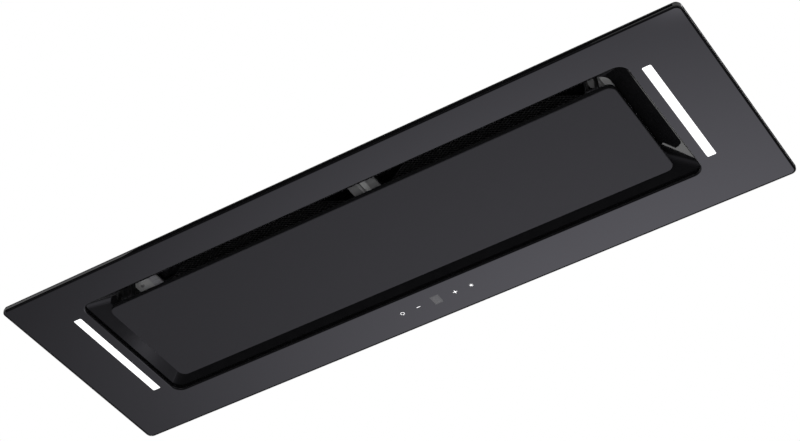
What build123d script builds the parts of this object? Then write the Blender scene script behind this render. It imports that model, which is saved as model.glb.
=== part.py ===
from build123d import *
import math
import os

# Undermount range hood with a black glass fascia and a hinged suction panel.
# Millimetres. X runs along the fascia, +Y points to the wall, +Z points up.
# The origin is the middle of the fascia's lower glass face, and the controls are on its front strip, at -Y.
# Left and right are those of a person who faces the wall.

# Glass fascia, with its cut-out set back from the middle to leave room for the controls
fascia_length = 900.0
fascia_depth = 292.0
fascia_corner = 8.0
glass_thickness = 6.0
glass_arris = 0.6
glass_round = 2.6
bond_thickness = 0.8
bond_inset = 2.0
end_border = 88.0
front_border = 58.9
rear_border = 44.1
opening_corner = 12.0

# Sheets
frame_sheet = 1.2
steel_sheet = 1.0
frame_inset = 0.9
part_clearance = 0.5

# Suction panel
panel_end_gap = 23.5
panel_side_gap = 20.75
panel_corner = 10.0
panel_bond = 0.5
panel_plate_inset = 0.8
panel_box_margin = 14.0
panel_box_height = 12.3
panel_box_lip = 8.0

# Lamps at both ends of the fascia
lamp_border = 69.0
lamp_offset = 1.1
lamp_length = 157.0
lamp_width = 10.5
lamp_corner = 1.5
lamp_clearance = 0.25
lamp_recess = 0.6
lamp_top_z = 8.8
lamp_ledge = 1.0
channel_wall = 1.2
channel_height = 11.0
channel_flange = 3.0
led_strip_width = 7.0
led_strip_sheet = 1.0
led_length = 3.0
led_height = 0.8
led_pitch = 12.0

# Touch control
touch_length = 140.0
touch_depth = 20.0
touch_board_sheet = 1.6
touch_board_gap = 3.0
touch_cover_height = 11.0
touch_cover_wall = 1.5
touch_corner = 3.0
touch_post = 3.0
touch_post_inset = 2.5
key_x_inner = 25.5
key_x_outer = 47.6
key_pad = 9.0
display_length = 12.0
display_depth = 15.0

# Funnel from the cut-out up to the filters
funnel_flange = 5.0
funnel_end_run = 29.0
funnel_side_run = 17.0
funnel_rise = 13.2
mouth_corner = 14.0
deck_z = 62.0
deck_flange = 7.0
deck_screw_inset = 9.0
deck_screw_spread = 34.0

# Grease filters
filter_end_margin = 25.0
filter_side_margin = 6.5
filter_clearance = 1.0
filter_gap = 9.0
filter_height = 9.0
filter_drop = 5.5
filter_rail = 12.0
filter_wall = 1.0
mesh_height = 5.0
mesh_columns = 8
mesh_rows = 4
mesh_web = 4.0
mesh_recess = 2.0
tongue_width = 22.0
tongue_reach = 4.5
tongue_sheet = 1.0
tongue_spread = 180.0

# Filter latch, which slides in a block on the filter's front rail
latch_block_length = 44.0
latch_block_depth = 24.0
latch_wall = 3.0
latch_floor = 1.5
latch_length = 26.0
latch_depth = 9.0
latch_travel = 5.0
latch_clearance = 0.4
latch_reach = 4.5
latch_bolt_length = 16.0
latch_bolt_height = 1.6
latch_bolt_gap = 0.3
latch_grip_length = 16.0
latch_grip_depth = 3.0
latch_grip_drop = 4.0
latch_grip_chamfer = 0.7
latch_spring_room = 7.2
latch_spring_sheet = 0.4
latch_spring_width = 4.0
latch_spring_span = 22.0

# Panel hinge
hinge_inset = 26.5
hinge_wall_gap = 7.4
hinge_z = 11.2
hinge_plate = 2.0
hinge_pin_radius = 2.0
hinge_running = 0.06
hinge_ear_radius = 3.2
hinge_base_width = 14.0
hinge_base_low = 24.0
hinge_base_high = 50.0
hinge_arm_foot = 8.0
hinge_pin_overhang = 1.0
hinge_head_radius = 3.0
hinge_head_height = 1.0

# Magnetic catches
catch_x = 202.0
catch_length = 24.0
catch_gap = 0.3
catch_height = 11.0
catch_reach = 9.0
magnet_length = 18.0
magnet_depth = 6.0
magnet_height = 5.0

# Lower body box
body_end_border = 35.0
body_rear_border = 34.0
body_rear_lean = 17.0
body_top_z = 64.0
body_flange = 6.0
body_port_margin = 6.0
body_port_end_margin = 4.0
flange_lap = 1.0
wire_hole_radius = 6.0
screw_spread = 300.0

# Blower cover
cover_case_gap = 2.0
cover_setback = 5.0
cover_rear_setback = 9.0
cover_top_depth = 100.0
cover_top_z = 195.0
cover_flange = 8.0
cover_screw_spread = 180.0

# Blower, with its shaft along X
shaft_z = 126.0
shaft_radius = 4.0
shaft_running = 0.05
impeller_radius = 43.0
impeller_length = 204.0
impeller_blades = 24
blade_root_radius = 34.0
blade_sheet = 1.0
blade_lean = 8.0
blade_bow = 0.4
impeller_plate = 2.0
impeller_ring = 2.5
hub_radius = 10.0
hub_length = 26.0
scroll_length = 216.0
scroll_sheet = 1.0
scroll_start = 48.0
scroll_step = 4.0
scroll_tongue = 5.0
scroll_edge = 1.5
scroll_gap = 6.0
cheek_tab = 8.0
cheek_tab_depth = 40.0
inlet_radius = 38.0
inlet_throat = 31.0
inlet_depth = 5.0

# Motor on the right and end bearing on the left
carrier_foot_radius = 44.0
carrier_arm_width = 9.0
carrier_sheet = 2.0
carrier_foot_width = 6.0
carrier_arms = 3
motor_carrier_gap = 15.0
motor_ring_inner = 17.0
motor_radius = 36.0
motor_length = 50.0
motor_chamfer = 5.0
motor_boss_radius = 14.0
motor_boss_length = 8.0
motor_shaft_depth = 20.0
motor_vents = 8
motor_vent_length = 12.0
motor_vent_width = 3.0
motor_vent_depth = 2.0
motor_vent_circle = 24.0
bush_radius = 4.0
bush_height = 3.0
bush_circle = 30.0
bush_margin = 1.0
bearing_carrier_gap = 12.0
bearing_cup_radius = 11.0
bearing_radius = 8.0
bearing_length = 9.0
shaft_overhang = 2.0

# Capacitor on the cover's front wall
capacitor_setback = 97.0
capacitor_z = 150.0
capacitor_radius = 15.0
capacitor_length = 58.0
capacitor_chamfer = 2.0
capacitor_lead = 6.0
capacitor_lead_width = 1.0
capacitor_lead_spread = 10.0
clip_sheet = 1.0
clip_width = 12.0
clip_tab = 9.0

# Outlet for flat duct of 220 by 55
outlet_length = 218.0
outlet_depth = 54.0
outlet_corner = 6.0
outlet_wall = 1.5
outlet_height = 35.0
outlet_flange = 4.0
outlet_ledge_z = 5.5
outlet_ledge = 3.0
outlet_ledge_sheet = 1.5

# Non-return flaps in the outlet
rod_radius = 2.0
rod_running = 0.1
knuckle_radius = 3.4
knuckle_length = 20.0
knuckle_x = 76.0
knuckle_gap = 1.0
flap_sheet = 1.0
flap_root = 4.2
flap_side_gap = 1.0
flap_seat_gap = 0.3

# Control case
case_border = 7.0
case_setback = 15.0
case_length = 86.0
case_depth = 148.0
case_height = 40.0
case_wall = 2.0
case_corner = 6.0
case_lid = 2.0
case_lid_skirt = 6.0
case_lid_clearance = 0.2
case_post = 6.0
case_post_height = 4.0
case_post_inset = 10.0
board_sheet = 1.6
board_margin = 4.0
terminal_length = 34.0
terminal_depth = 14.0
terminal_height = 15.0
terminal_ways = 4
terminal_hole = 4.5
terminal_hole_depth = 8.0
terminal_setback = 18.0
transformer_length = 34.0
transformer_depth = 28.0
transformer_height = 20.0
transformer_setback = 40.0
relay_length = 15.0
relay_depth = 19.0
relay_height = 15.0
relay_pitch = 20.0
relays = 3
gland_height = 20.0
gland_hex = 10.0
gland_hex_height = 6.0
gland_dome_radius = 8.5
gland_dome_height = 10.0
gland_dome_chamfer = 3.0
gland_thread_radius = 7.0
gland_nut_height = 4.0
gland_bore = 4.2

# Brackets that rest on the cabinet's bottom board
cabinet_board = 18.0
bracket_y = -17.0
bracket_length = 60.0
bracket_reach = 24.0
bracket_rise = 22.0
bracket_sheet = 2.0
bracket_slot_x = 14.0
bracket_slot_pitch = 36.0
bracket_slot_length = 10.0
bracket_slot_radius = 2.25

# Foam seal
seal_inset = 2.5
seal_width = 4.0
seal_height = 2.0

# Screws
screw_head_radius = 2.6
screw_head_height = 1.8

# Levels and edges that follow from the sizes above
plate_z = glass_thickness + bond_thickness
frame_top_z = plate_z + frame_sheet
board_z = frame_top_z + seal_height + cabinet_board
opening_length = fascia_length - 2 * end_border
opening_depth = fascia_depth - front_border - rear_border
opening_y = (front_border - rear_border) / 2
lamp_x = fascia_length / 2 - lamp_border
lamp_y = opening_y + lamp_offset
panel_length = opening_length - 2 * panel_end_gap
panel_depth = opening_depth - 2 * panel_side_gap
mouth_z = plate_z + funnel_rise
mouth_length = opening_length - 2 * funnel_end_run
mouth_depth = opening_depth - 2 * funnel_side_run
mouth_front = opening_y - mouth_depth / 2
mouth_rear = opening_y + mouth_depth / 2
deck_top_z = deck_z + steel_sheet
panel_plate_z = glass_thickness + panel_bond
panel_box_z = panel_plate_z + steel_sheet
panel_box_top = panel_box_z + panel_box_height
panel_box_length = panel_length - 2 * panel_box_margin
panel_box_depth = panel_depth - 2 * panel_box_margin
panel_lip_z = panel_box_top - steel_sheet
panel_box_rear = opening_y + panel_box_depth / 2
panel_box_front = opening_y - panel_box_depth / 2
filter_length = (mouth_length - filter_gap) / 2 - filter_end_margin - 2 * filter_clearance
filter_depth = mouth_depth - 2 * (filter_side_margin + filter_clearance)
filter_x = filter_gap / 2 + filter_clearance + filter_length / 2
filter_low_z = deck_z - filter_drop
filter_top_z = filter_low_z + filter_height
filter_front = opening_y - filter_depth / 2
filter_rear = opening_y + filter_depth / 2
latch_front = filter_front + latch_wall
hinge_x = panel_length / 2 - hinge_inset
hinge_y = mouth_rear - hinge_wall_gap
body_end = fascia_length / 2 - body_end_border
body_front = -fascia_depth / 2 + seal_inset + seal_width + part_clearance + body_flange
body_rear_low = fascia_depth / 2 - body_rear_border
body_rear_high = body_rear_low - body_rear_lean
body_port_length = 2 * (filter_x + filter_length / 2 + body_port_end_margin)
body_port_depth = filter_depth + 2 * body_port_margin
flange_edge_y = opening_y - opening_depth / 2 - funnel_flange - part_clearance
touch_y = (flange_edge_y + body_front + steel_sheet) / 2
case_x = body_end - case_border - case_length / 2
cover_end = case_x - case_length / 2 - cover_case_gap - cover_flange
capacitor_x = capacitor_setback - cover_end
cover_front = body_front + cover_setback
cover_rear = body_rear_high - cover_rear_setback
cover_top_rear = cover_front + cover_top_depth
cheek_x = scroll_length / 2
cheek_outer_x = cheek_x + scroll_sheet
scroll_half = scroll_step / 2
scroll_front = cover_front + scroll_gap
shaft_y = scroll_front + scroll_start + 3 * scroll_step
scroll_outlet = outlet_depth - 2 * outlet_wall + 2 * part_clearance
scroll_top = cover_top_z - steel_sheet
outlet_y = scroll_front + scroll_outlet / 2
flap_z = cover_top_z + outlet_ledge_z + outlet_ledge_sheet + flap_seat_gap + flap_sheet / 2
case_z = body_top_z
case_y = body_front + case_setback + case_depth / 2
case_rear = case_y + case_depth / 2
shaft_line = Axis((0, shaft_y, shaft_z), (1, 0, 0))
sides = (("left", -1), ("right", 1))
key_places = [(x, touch_y) for x in (-key_x_outer, -key_x_inner, key_x_inner, key_x_outer)]
body_screw_rows = (body_front - body_flange / 2, body_rear_low + body_flange / 2)
body_screw_places = [(x, y) for x in (-screw_spread, 0.0, screw_spread) for y in body_screw_rows]
deck_screw_x = mouth_length / 2 - deck_screw_inset
deck_screw_places = [
    (side * deck_screw_x, opening_y + row * deck_screw_spread) for name, side in sides for row in (-1, 1)
]
cover_rear_screw_y = cover_rear + cover_flange / 2
cover_screw_places = [(x, cover_rear_screw_y) for x in (-cover_screw_spread, 0.0, cover_screw_spread)]
cover_side_x = cover_end + cover_flange / 2
cover_side_rows = (cover_front / 2, cover_rear / 2)
cover_screw_places += [(side * cover_side_x, y) for name, side in sides for y in cover_side_rows]
fascia_outline = (fascia_length, fascia_depth, fascia_corner)
opening_outline = (opening_length, opening_depth, opening_corner)
mouth_outline = (mouth_length, mouth_depth, mouth_corner)

os.makedirs("parts", exist_ok=True)


def slab(outline, low, high, x=0.0, y=0.0, grow=0.0, mode=Mode.ADD):
    """Add or cut a flat slab, its outline grown or shrunk evenly. A corner of zero stays square."""
    length, depth, corner = outline
    with BuildSketch(Plane.XY.offset(low)) as face:
        with Locations((x, y)):
            if corner:
                RectangleRounded(length + 2 * grow, depth + 2 * grow, corner + grow)
            else:
                Rectangle(length + 2 * grow, depth + 2 * grow)
    extrude(face.sketch, amount=high - low, mode=mode)


def block(x_range, y_range, z_range, mode=Mode.ADD):
    """Add or cut a square block between two positions on each axis."""
    with BuildSketch(Plane.XY.offset(z_range[0])) as face:
        with Locations((sum(x_range) / 2, sum(y_range) / 2)):
            Rectangle(x_range[1] - x_range[0], y_range[1] - y_range[0])
    extrude(face.sketch, amount=z_range[1] - z_range[0], mode=mode)


def pillars(places, side, low, high):
    """Add upright square pillars at a list of places."""
    with BuildSketch(Plane.XY.offset(low)) as face:
        with Locations(*places):
            Rectangle(side, side)
    extrude(face.sketch, amount=high - low)


# Fascia: toughened glass with the intake cut-out and a slot for each lamp. Its lower rims are pencil-rounded
# and its upper edges have a ground arris.
lamp_outline = (lamp_width, lamp_length, lamp_corner)
with BuildPart() as fascia_glass:
    slab(fascia_outline, 0, glass_thickness)
    slab(opening_outline, 0, glass_thickness, y=opening_y, mode=Mode.SUBTRACT)
    fillet(fascia_glass.edges().group_by(Axis.Z)[0], glass_round)
    for side_name, side in sides:
        slab(lamp_outline, 0, glass_thickness, side * lamp_x, lamp_y, lamp_clearance, Mode.SUBTRACT)
    chamfer(fascia_glass.edges().group_by(Axis.Z)[-1], glass_arris)
fascia_glass.part.label = "fascia_glass"
export_step(fascia_glass.part, "parts/fascia_glass.step")

# Bond: the black adhesive layer between the glass and the steel behind it.
touch_cover_length = touch_length + 2 * (part_clearance + touch_cover_wall)
touch_cover_depth = touch_depth + 2 * (part_clearance + touch_cover_wall)
touch_cover_outline = (touch_cover_length, touch_cover_depth, touch_corner)
touch_hole = (touch_cover_length, touch_cover_depth, 0.0)
lamp_hole = (lamp_width, lamp_length, 0.0)
with BuildPart() as fascia_bond:
    slab(fascia_outline, glass_thickness, plate_z, grow=-bond_inset)
    slab(opening_outline, glass_thickness, plate_z, y=opening_y, grow=bond_inset, mode=Mode.SUBTRACT)
    for side_name, side in sides:
        slab(lamp_hole, glass_thickness, plate_z, side * lamp_x, lamp_y, part_clearance, Mode.SUBTRACT)
    slab(touch_hole, glass_thickness, plate_z, y=touch_y, grow=-touch_cover_wall, mode=Mode.SUBTRACT)
fascia_bond.part.label = "fascia_bond"
export_step(fascia_bond.part, "parts/fascia_bond.step")

# Frame: the steel plate bonded behind the glass, with windows for the funnel, the lamps and the touch cover.
channel_outline = (lamp_width + 2 * channel_wall, lamp_length + 2 * channel_wall, 0.0)
with BuildPart() as fascia_frame:
    slab(fascia_outline, plate_z, frame_top_z, grow=-frame_inset)
    slab(
        opening_outline,
        plate_z,
        frame_top_z,
        y=opening_y,
        grow=funnel_flange + part_clearance,
        mode=Mode.SUBTRACT,
    )
    for side_name, side in sides:
        slab(
            channel_outline,
            plate_z,
            frame_top_z,
            side * lamp_x,
            lamp_y,
            channel_flange + part_clearance,
            Mode.SUBTRACT,
        )
    slab(touch_hole, plate_z, frame_top_z, y=touch_y, grow=part_clearance, mode=Mode.SUBTRACT)
fascia_frame.part.label = "fascia_frame"
export_step(fascia_frame.part, "parts/fascia_frame.step")

# Seal: the foam strip between the frame and the cabinet's underside.
with BuildPart() as cabinet_seal:
    slab(fascia_outline, frame_top_z, frame_top_z + seal_height, grow=-seal_inset)
    slab(
        (fascia_length - 2 * seal_inset, fascia_depth - 2 * seal_inset, seal_width + part_clearance),
        frame_top_z,
        frame_top_z + seal_height,
        grow=-seal_width,
        mode=Mode.SUBTRACT,
    )
cabinet_seal.part.label = "cabinet_seal"
export_step(cabinet_seal.part, "parts/cabinet_seal.step")

# Funnel: enamelled sheet that slopes from the cut-out to the mouth, then rises as a collar to the deck.
end_offset = steel_sheet * math.hypot(funnel_rise, funnel_end_run) / funnel_rise
side_offset = steel_sheet * math.hypot(funnel_rise, funnel_side_run) / funnel_rise
with BuildPart() as intake_funnel:
    with BuildSketch(Plane.XY.offset(plate_z)):
        with Locations((0, opening_y)):
            RectangleRounded(
                opening_length + 2 * end_offset, opening_depth + 2 * side_offset, opening_corner + side_offset
            )
    with BuildSketch(Plane.XY.offset(mouth_z + steel_sheet / 2)):
        with Locations((0, opening_y)):
            RectangleRounded(
                mouth_length + 2 * steel_sheet, mouth_depth + 2 * steel_sheet, mouth_corner + steel_sheet
            )
    loft()
    slab(mouth_outline, mouth_z, deck_z, y=opening_y, grow=steel_sheet)
    slab(opening_outline, plate_z, plate_z + steel_sheet, y=opening_y, grow=funnel_flange)
    slab(mouth_outline, deck_z - steel_sheet, deck_z, y=opening_y, grow=deck_flange)
    with BuildSketch(Plane.XY.offset(plate_z)):
        with Locations((0, opening_y)):
            RectangleRounded(opening_length, opening_depth, opening_corner)
    with BuildSketch(Plane.XY.offset(mouth_z)):
        with Locations((0, opening_y)):
            RectangleRounded(mouth_length, mouth_depth, mouth_corner)
    loft(mode=Mode.SUBTRACT)
    slab(mouth_outline, mouth_z, deck_z, y=opening_y, mode=Mode.SUBTRACT)
intake_funnel.part.label = "intake_funnel"
export_step(intake_funnel.part, "parts/intake_funnel.step")

# Deck: zinc-plated sheet under the body box, with one opening for each filter.
filter_outline = (filter_length, filter_depth, 0.0)
with BuildPart() as filter_deck:
    slab(mouth_outline, deck_z, deck_top_z, y=opening_y, grow=deck_flange)
    for side_name, side in sides:
        slab(filter_outline, deck_z, deck_top_z, side * filter_x, opening_y, filter_clearance, Mode.SUBTRACT)
filter_deck.part.label = "filter_deck"
export_step(filter_deck.part, "parts/filter_deck.step")

# Lamps: an acrylic diffuser in the glass slot, an aluminium channel behind it and a strip of LEDs.
channel_top_z = plate_z + channel_height
led_count = int((lamp_length - led_pitch) // led_pitch)
for side_name, side in sides:
    x = side * lamp_x
    with BuildPart() as lamp_diffuser:
        slab(lamp_outline, lamp_recess, lamp_top_z, x, lamp_y)
    lamp_diffuser.part.label = f"lamp_diffuser_{side_name}"
    export_step(lamp_diffuser.part, f"parts/lamp_diffuser_{side_name}.step")

    with BuildPart() as lamp_channel:
        slab(channel_outline, plate_z, channel_top_z, x, lamp_y)
        slab(channel_outline, plate_z, plate_z + channel_wall, x, lamp_y, channel_flange)
        slab(lamp_hole, plate_z, lamp_top_z, x, lamp_y, mode=Mode.SUBTRACT)
        slab(lamp_hole, lamp_top_z, channel_top_z - channel_wall, x, lamp_y, -lamp_ledge, Mode.SUBTRACT)
    lamp_channel.part.label = f"lamp_channel_{side_name}"
    export_step(lamp_channel.part, f"parts/lamp_channel_{side_name}.step")

    with BuildPart() as led_strip:
        strip_z = channel_top_z - channel_wall - led_strip_sheet
        strip_half = lamp_length / 2 - lamp_ledge - part_clearance
        block(
            (x - led_strip_width / 2, x + led_strip_width / 2),
            (lamp_y - strip_half, lamp_y + strip_half),
            (strip_z, strip_z + led_strip_sheet),
        )
        with BuildSketch(Plane.XY.offset(strip_z - led_height)):
            with Locations((x, lamp_y)):
                with GridLocations(led_pitch, led_pitch, 1, led_count):
                    Rectangle(led_length, led_length)
        extrude(amount=led_height)
    led_strip.part.label = f"led_strip_{side_name}"
    export_step(led_strip.part, f"parts/led_strip_{side_name}.step")

# Touch control: a board held in a moulded cover, with foam key pads and a display against the glass.
touch_board_z = glass_thickness + touch_board_gap
touch_board_top = touch_board_z + touch_board_sheet
touch_cover_top = plate_z + touch_cover_height
touch_post_x = touch_length / 2 - touch_post_inset
touch_post_y = touch_depth / 2 - touch_post_inset
touch_posts = [(i * touch_post_x, touch_y + j * touch_post_y) for i in (-1, 1) for j in (-1, 1)]
with BuildPart() as touch_board:
    slab((touch_length, touch_depth, touch_corner), touch_board_z, touch_board_top, y=touch_y)
touch_board.part.label = "touch_board"
export_step(touch_board.part, "parts/touch_board.step")

with BuildPart() as key_pads:
    pillars(key_places, key_pad, glass_thickness, touch_board_z)
key_pads.part.label = "key_pads"
export_step(key_pads.part, "parts/key_pads.step")

with BuildPart() as display_module:
    block(
        (-display_length / 2, display_length / 2),
        (touch_y - display_depth / 2, touch_y + display_depth / 2),
        (glass_thickness, touch_board_z),
    )
    chamfer(display_module.edges().filter_by(Axis.Z), glass_arris)
display_module.part.label = "display_module"
export_step(display_module.part, "parts/display_module.step")

with BuildPart() as touch_cover:
    slab(touch_cover_outline, plate_z, touch_cover_top, y=touch_y)
    cover_hollow = touch_cover_top - touch_cover_wall
    slab(touch_cover_outline, plate_z, cover_hollow, y=touch_y, grow=-touch_cover_wall, mode=Mode.SUBTRACT)
    pillars(touch_posts, touch_post, touch_board_top, touch_cover_top)
touch_cover.part.label = "touch_cover"
export_step(touch_cover.part, "parts/touch_cover.step")

# Filters: an aluminium channel frame round a mesh pack with pressed pockets, hooked over the deck at the rear
# and latched at the front by a sprung slide.
window_length = filter_length - 2 * filter_rail
window_depth = filter_depth - 2 * filter_rail
window_outline = (window_length, window_depth, 0.0)
mesh_low_z = filter_low_z + (filter_height - mesh_height) / 2
mesh_outline = (filter_length - 2 * filter_wall, filter_depth - 2 * filter_wall, 0.0)
mesh_web_front = filter_front + latch_block_depth + part_clearance
mesh_pitch_x = window_length / mesh_columns
mesh_pitch_y = window_depth / mesh_rows
latch_block_rear = filter_front + latch_block_depth
pocket_rear = latch_front + latch_clearance / 2 + latch_depth + latch_spring_room
bolt_low_z = deck_top_z + latch_bolt_gap
bolt_top_z = bolt_low_z + latch_bolt_height
latch_low_z = filter_low_z + latch_floor + latch_clearance / 2
latch_body_front = latch_front + latch_clearance / 2
latch_body_rear = latch_body_front + latch_depth
grip_front = latch_body_front + latch_wall
for side_name, side in sides:
    x = side * filter_x
    with BuildPart() as filter_frame:
        slab(filter_outline, filter_low_z, filter_top_z, x, opening_y)
        slab(window_outline, filter_low_z, filter_top_z, x, opening_y, mode=Mode.SUBTRACT)
        slab(mesh_outline, mesh_low_z, mesh_low_z + mesh_height, x, opening_y, mode=Mode.SUBTRACT)
        block(
            (x - latch_block_length / 2, x + latch_block_length / 2),
            (filter_front, latch_block_rear),
            (filter_low_z, filter_top_z),
        )
        for end in (-1, 1):
            tongue_x = x + end * tongue_spread / 2
            block(
                (tongue_x - tongue_width / 2, tongue_x + tongue_width / 2),
                (filter_rear - filter_wall, filter_rear + tongue_reach),
                (deck_top_z, deck_top_z + tongue_sheet),
            )
        pocket_half = latch_length / 2 + latch_clearance
        block(
            (x - pocket_half, x + pocket_half),
            (latch_front, pocket_rear),
            (filter_low_z + latch_floor, filter_top_z),
            Mode.SUBTRACT,
        )
        bolt_half = latch_bolt_length / 2 + latch_clearance
        block(
            (x - bolt_half, x + bolt_half),
            (filter_front, latch_front),
            (bolt_low_z - latch_clearance, filter_top_z),
            Mode.SUBTRACT,
        )
        grip_half = latch_grip_length / 2 + latch_clearance
        block(
            (x - grip_half, x + grip_half),
            (grip_front - latch_clearance, grip_front + latch_grip_depth + latch_travel + latch_clearance),
            (filter_low_z, filter_low_z + latch_floor),
            Mode.SUBTRACT,
        )
    filter_frame.part.label = f"filter_frame_{side_name}"
    export_step(filter_frame.part, f"parts/filter_frame_{side_name}.step")

    with BuildPart() as filter_mesh:
        slab(mesh_outline, mesh_low_z, mesh_low_z + mesh_height, x, opening_y)
        with BuildSketch(Plane.XY.offset(mesh_low_z)):
            with Locations((x, opening_y)):
                with GridLocations(mesh_pitch_x, mesh_pitch_y, mesh_columns, mesh_rows):
                    Rectangle(mesh_pitch_x - mesh_web, mesh_pitch_y - mesh_web)
        extrude(amount=mesh_recess, mode=Mode.SUBTRACT)
        block(
            (x - latch_block_length / 2 - part_clearance, x + latch_block_length / 2 + part_clearance),
            (filter_front, mesh_web_front),
            (mesh_low_z, mesh_low_z + mesh_height),
            Mode.SUBTRACT,
        )
    filter_mesh.part.label = f"filter_mesh_{side_name}"
    export_step(filter_mesh.part, f"parts/filter_mesh_{side_name}.step")

    with BuildPart() as filter_latch:
        block(
            (x - latch_length / 2, x + latch_length / 2),
            (latch_body_front, latch_body_rear),
            (latch_low_z, bolt_top_z),
        )
        block(
            (x - latch_bolt_length / 2, x + latch_bolt_length / 2),
            (filter_front - latch_reach, latch_body_front),
            (bolt_low_z, bolt_top_z),
        )
        block(
            (x - latch_grip_length / 2, x + latch_grip_length / 2),
            (grip_front, grip_front + latch_grip_depth),
            (filter_low_z - latch_grip_drop, latch_low_z),
        )
        chamfer(filter_latch.faces().sort_by(Axis.Z)[0].edges(), latch_grip_chamfer)
    filter_latch.part.label = f"filter_latch_{side_name}"
    export_step(filter_latch.part, f"parts/filter_latch_{side_name}.step")

    spring_low_z = latch_low_z + latch_clearance
    with BuildPart() as latch_spring:
        with BuildSketch(Plane.XY.offset(spring_low_z)):
            with BuildLine():
                ThreePointArc(
                    (x - latch_spring_span / 2, pocket_rear - latch_spring_sheet),
                    (x, latch_body_rear + latch_spring_sheet / 2),
                    (x + latch_spring_span / 2, pocket_rear - latch_spring_sheet),
                )
            trace(line_width=latch_spring_sheet)
        extrude(amount=latch_spring_width)
    latch_spring.part.label = f"latch_spring_{side_name}"
    export_step(latch_spring.part, f"parts/latch_spring_{side_name}.step")

# Suction panel: the glass, its adhesive and the steel tray plate.
panel_outline = (panel_length, panel_depth, panel_corner)
with BuildPart() as panel_glass:
    slab(panel_outline, 0, glass_thickness, y=opening_y)
    chamfer(panel_glass.edges().group_by(Axis.Z)[0], glass_arris)
    chamfer(panel_glass.edges().group_by(Axis.Z)[-1], glass_arris)
panel_glass.part.label = "panel_glass"
export_step(panel_glass.part, "parts/panel_glass.step")

with BuildPart() as panel_adhesive:
    slab(panel_outline, glass_thickness, panel_plate_z, y=opening_y, grow=-bond_inset)
panel_adhesive.part.label = "panel_adhesive"
export_step(panel_adhesive.part, "parts/panel_adhesive.step")

with BuildPart() as panel_tray:
    slab(panel_outline, panel_plate_z, panel_box_z, y=opening_y, grow=-panel_plate_inset)
panel_tray.part.label = "panel_tray"
export_step(panel_tray.part, "parts/panel_tray.step")

# Stiffeners: four steel angles welded to the tray, their lips turned in. The catches pull on the front one.
end_half = panel_box_depth / 2 - panel_box_lip - part_clearance
end_range = (opening_y - end_half, opening_y + end_half)
long_range = (-panel_box_length / 2, panel_box_length / 2)
with BuildPart() as panel_stiffeners:
    for way in (-1, 1):
        wall = opening_y + way * panel_box_depth / 2
        block(long_range, sorted((wall, wall - way * steel_sheet)), (panel_box_z, panel_box_top))
        block(long_range, sorted((wall, wall - way * panel_box_lip)), (panel_lip_z, panel_box_top))
        wall = way * panel_box_length / 2
        block(sorted((wall, wall - way * steel_sheet)), end_range, (panel_box_z, panel_box_top))
        block(sorted((wall, wall - way * panel_box_lip)), end_range, (panel_lip_z, panel_box_top))
panel_stiffeners.part.label = "panel_stiffeners"
export_step(panel_stiffeners.part, "parts/panel_stiffeners.step")

# Hinges: an arm on the tray turns on a pin held between the two ears of a bracket on the collar's rear wall.
bracket_wall = mouth_rear - hinge_plate
ear_inner = hinge_base_width / 2 - hinge_plate
ear_outer = hinge_base_width / 2
pin_length = hinge_base_width + hinge_pin_overhang
for side_name, side in sides:
    x = side * hinge_x
    with BuildPart() as hinge_arm:
        block(
            (x - ear_inner + hinge_plate, x + ear_inner - hinge_plate),
            (panel_box_rear, panel_box_rear + hinge_plate),
            (panel_box_z, panel_box_z + hinge_arm_foot),
        )
        with BuildSketch(Plane.YZ.offset(x - hinge_plate / 2)):
            with Locations((hinge_y, hinge_z)):
                Circle(hinge_ear_radius)
            with Locations(((panel_box_rear + hinge_y) / 2, hinge_z)):
                Rectangle(hinge_y - panel_box_rear, 2 * hinge_ear_radius)
            with Locations((hinge_y, hinge_z)):
                Circle(hinge_pin_radius + hinge_running, mode=Mode.SUBTRACT)
        extrude(amount=hinge_plate)
    hinge_arm.part.label = f"hinge_arm_{side_name}"
    export_step(hinge_arm.part, f"parts/hinge_arm_{side_name}.step")

    with BuildPart() as hinge_bracket:
        block(
            (x - ear_outer, x + ear_outer),
            (bracket_wall, mouth_rear),
            (hinge_base_low, hinge_base_high),
        )
        for ear in (-ear_outer, ear_inner):
            with BuildSketch(Plane.YZ.offset(x + ear)):
                with BuildLine():
                    Polyline(
                        (hinge_y - hinge_ear_radius, hinge_z),
                        (hinge_y + hinge_ear_radius, hinge_z),
                        (hinge_y + hinge_ear_radius, mouth_z),
                        (bracket_wall, hinge_base_low),
                        (bracket_wall, hinge_base_high),
                        (hinge_y - hinge_ear_radius, hinge_base_low),
                        close=True,
                    )
                make_face()
                with Locations((hinge_y, hinge_z)):
                    Circle(hinge_ear_radius)
                    Circle(hinge_pin_radius, mode=Mode.SUBTRACT)
            extrude(amount=hinge_plate)
    hinge_bracket.part.label = f"hinge_bracket_{side_name}"
    export_step(hinge_bracket.part, f"parts/hinge_bracket_{side_name}.step")

    with BuildPart() as hinge_pin:
        with BuildSketch(Plane.YZ.offset(x - pin_length / 2)):
            with Locations((hinge_y, hinge_z)):
                Circle(hinge_pin_radius)
        extrude(amount=pin_length)
        head_x = x + side * (pin_length + hinge_head_height) / 2 - hinge_head_height / 2
        with BuildSketch(Plane.YZ.offset(head_x)):
            with Locations((hinge_y, hinge_z)):
                Circle(hinge_head_radius)
        extrude(amount=hinge_head_height)
    hinge_pin.part.label = f"hinge_pin_{side_name}"
    export_step(hinge_pin.part, f"parts/hinge_pin_{side_name}.step")

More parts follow.
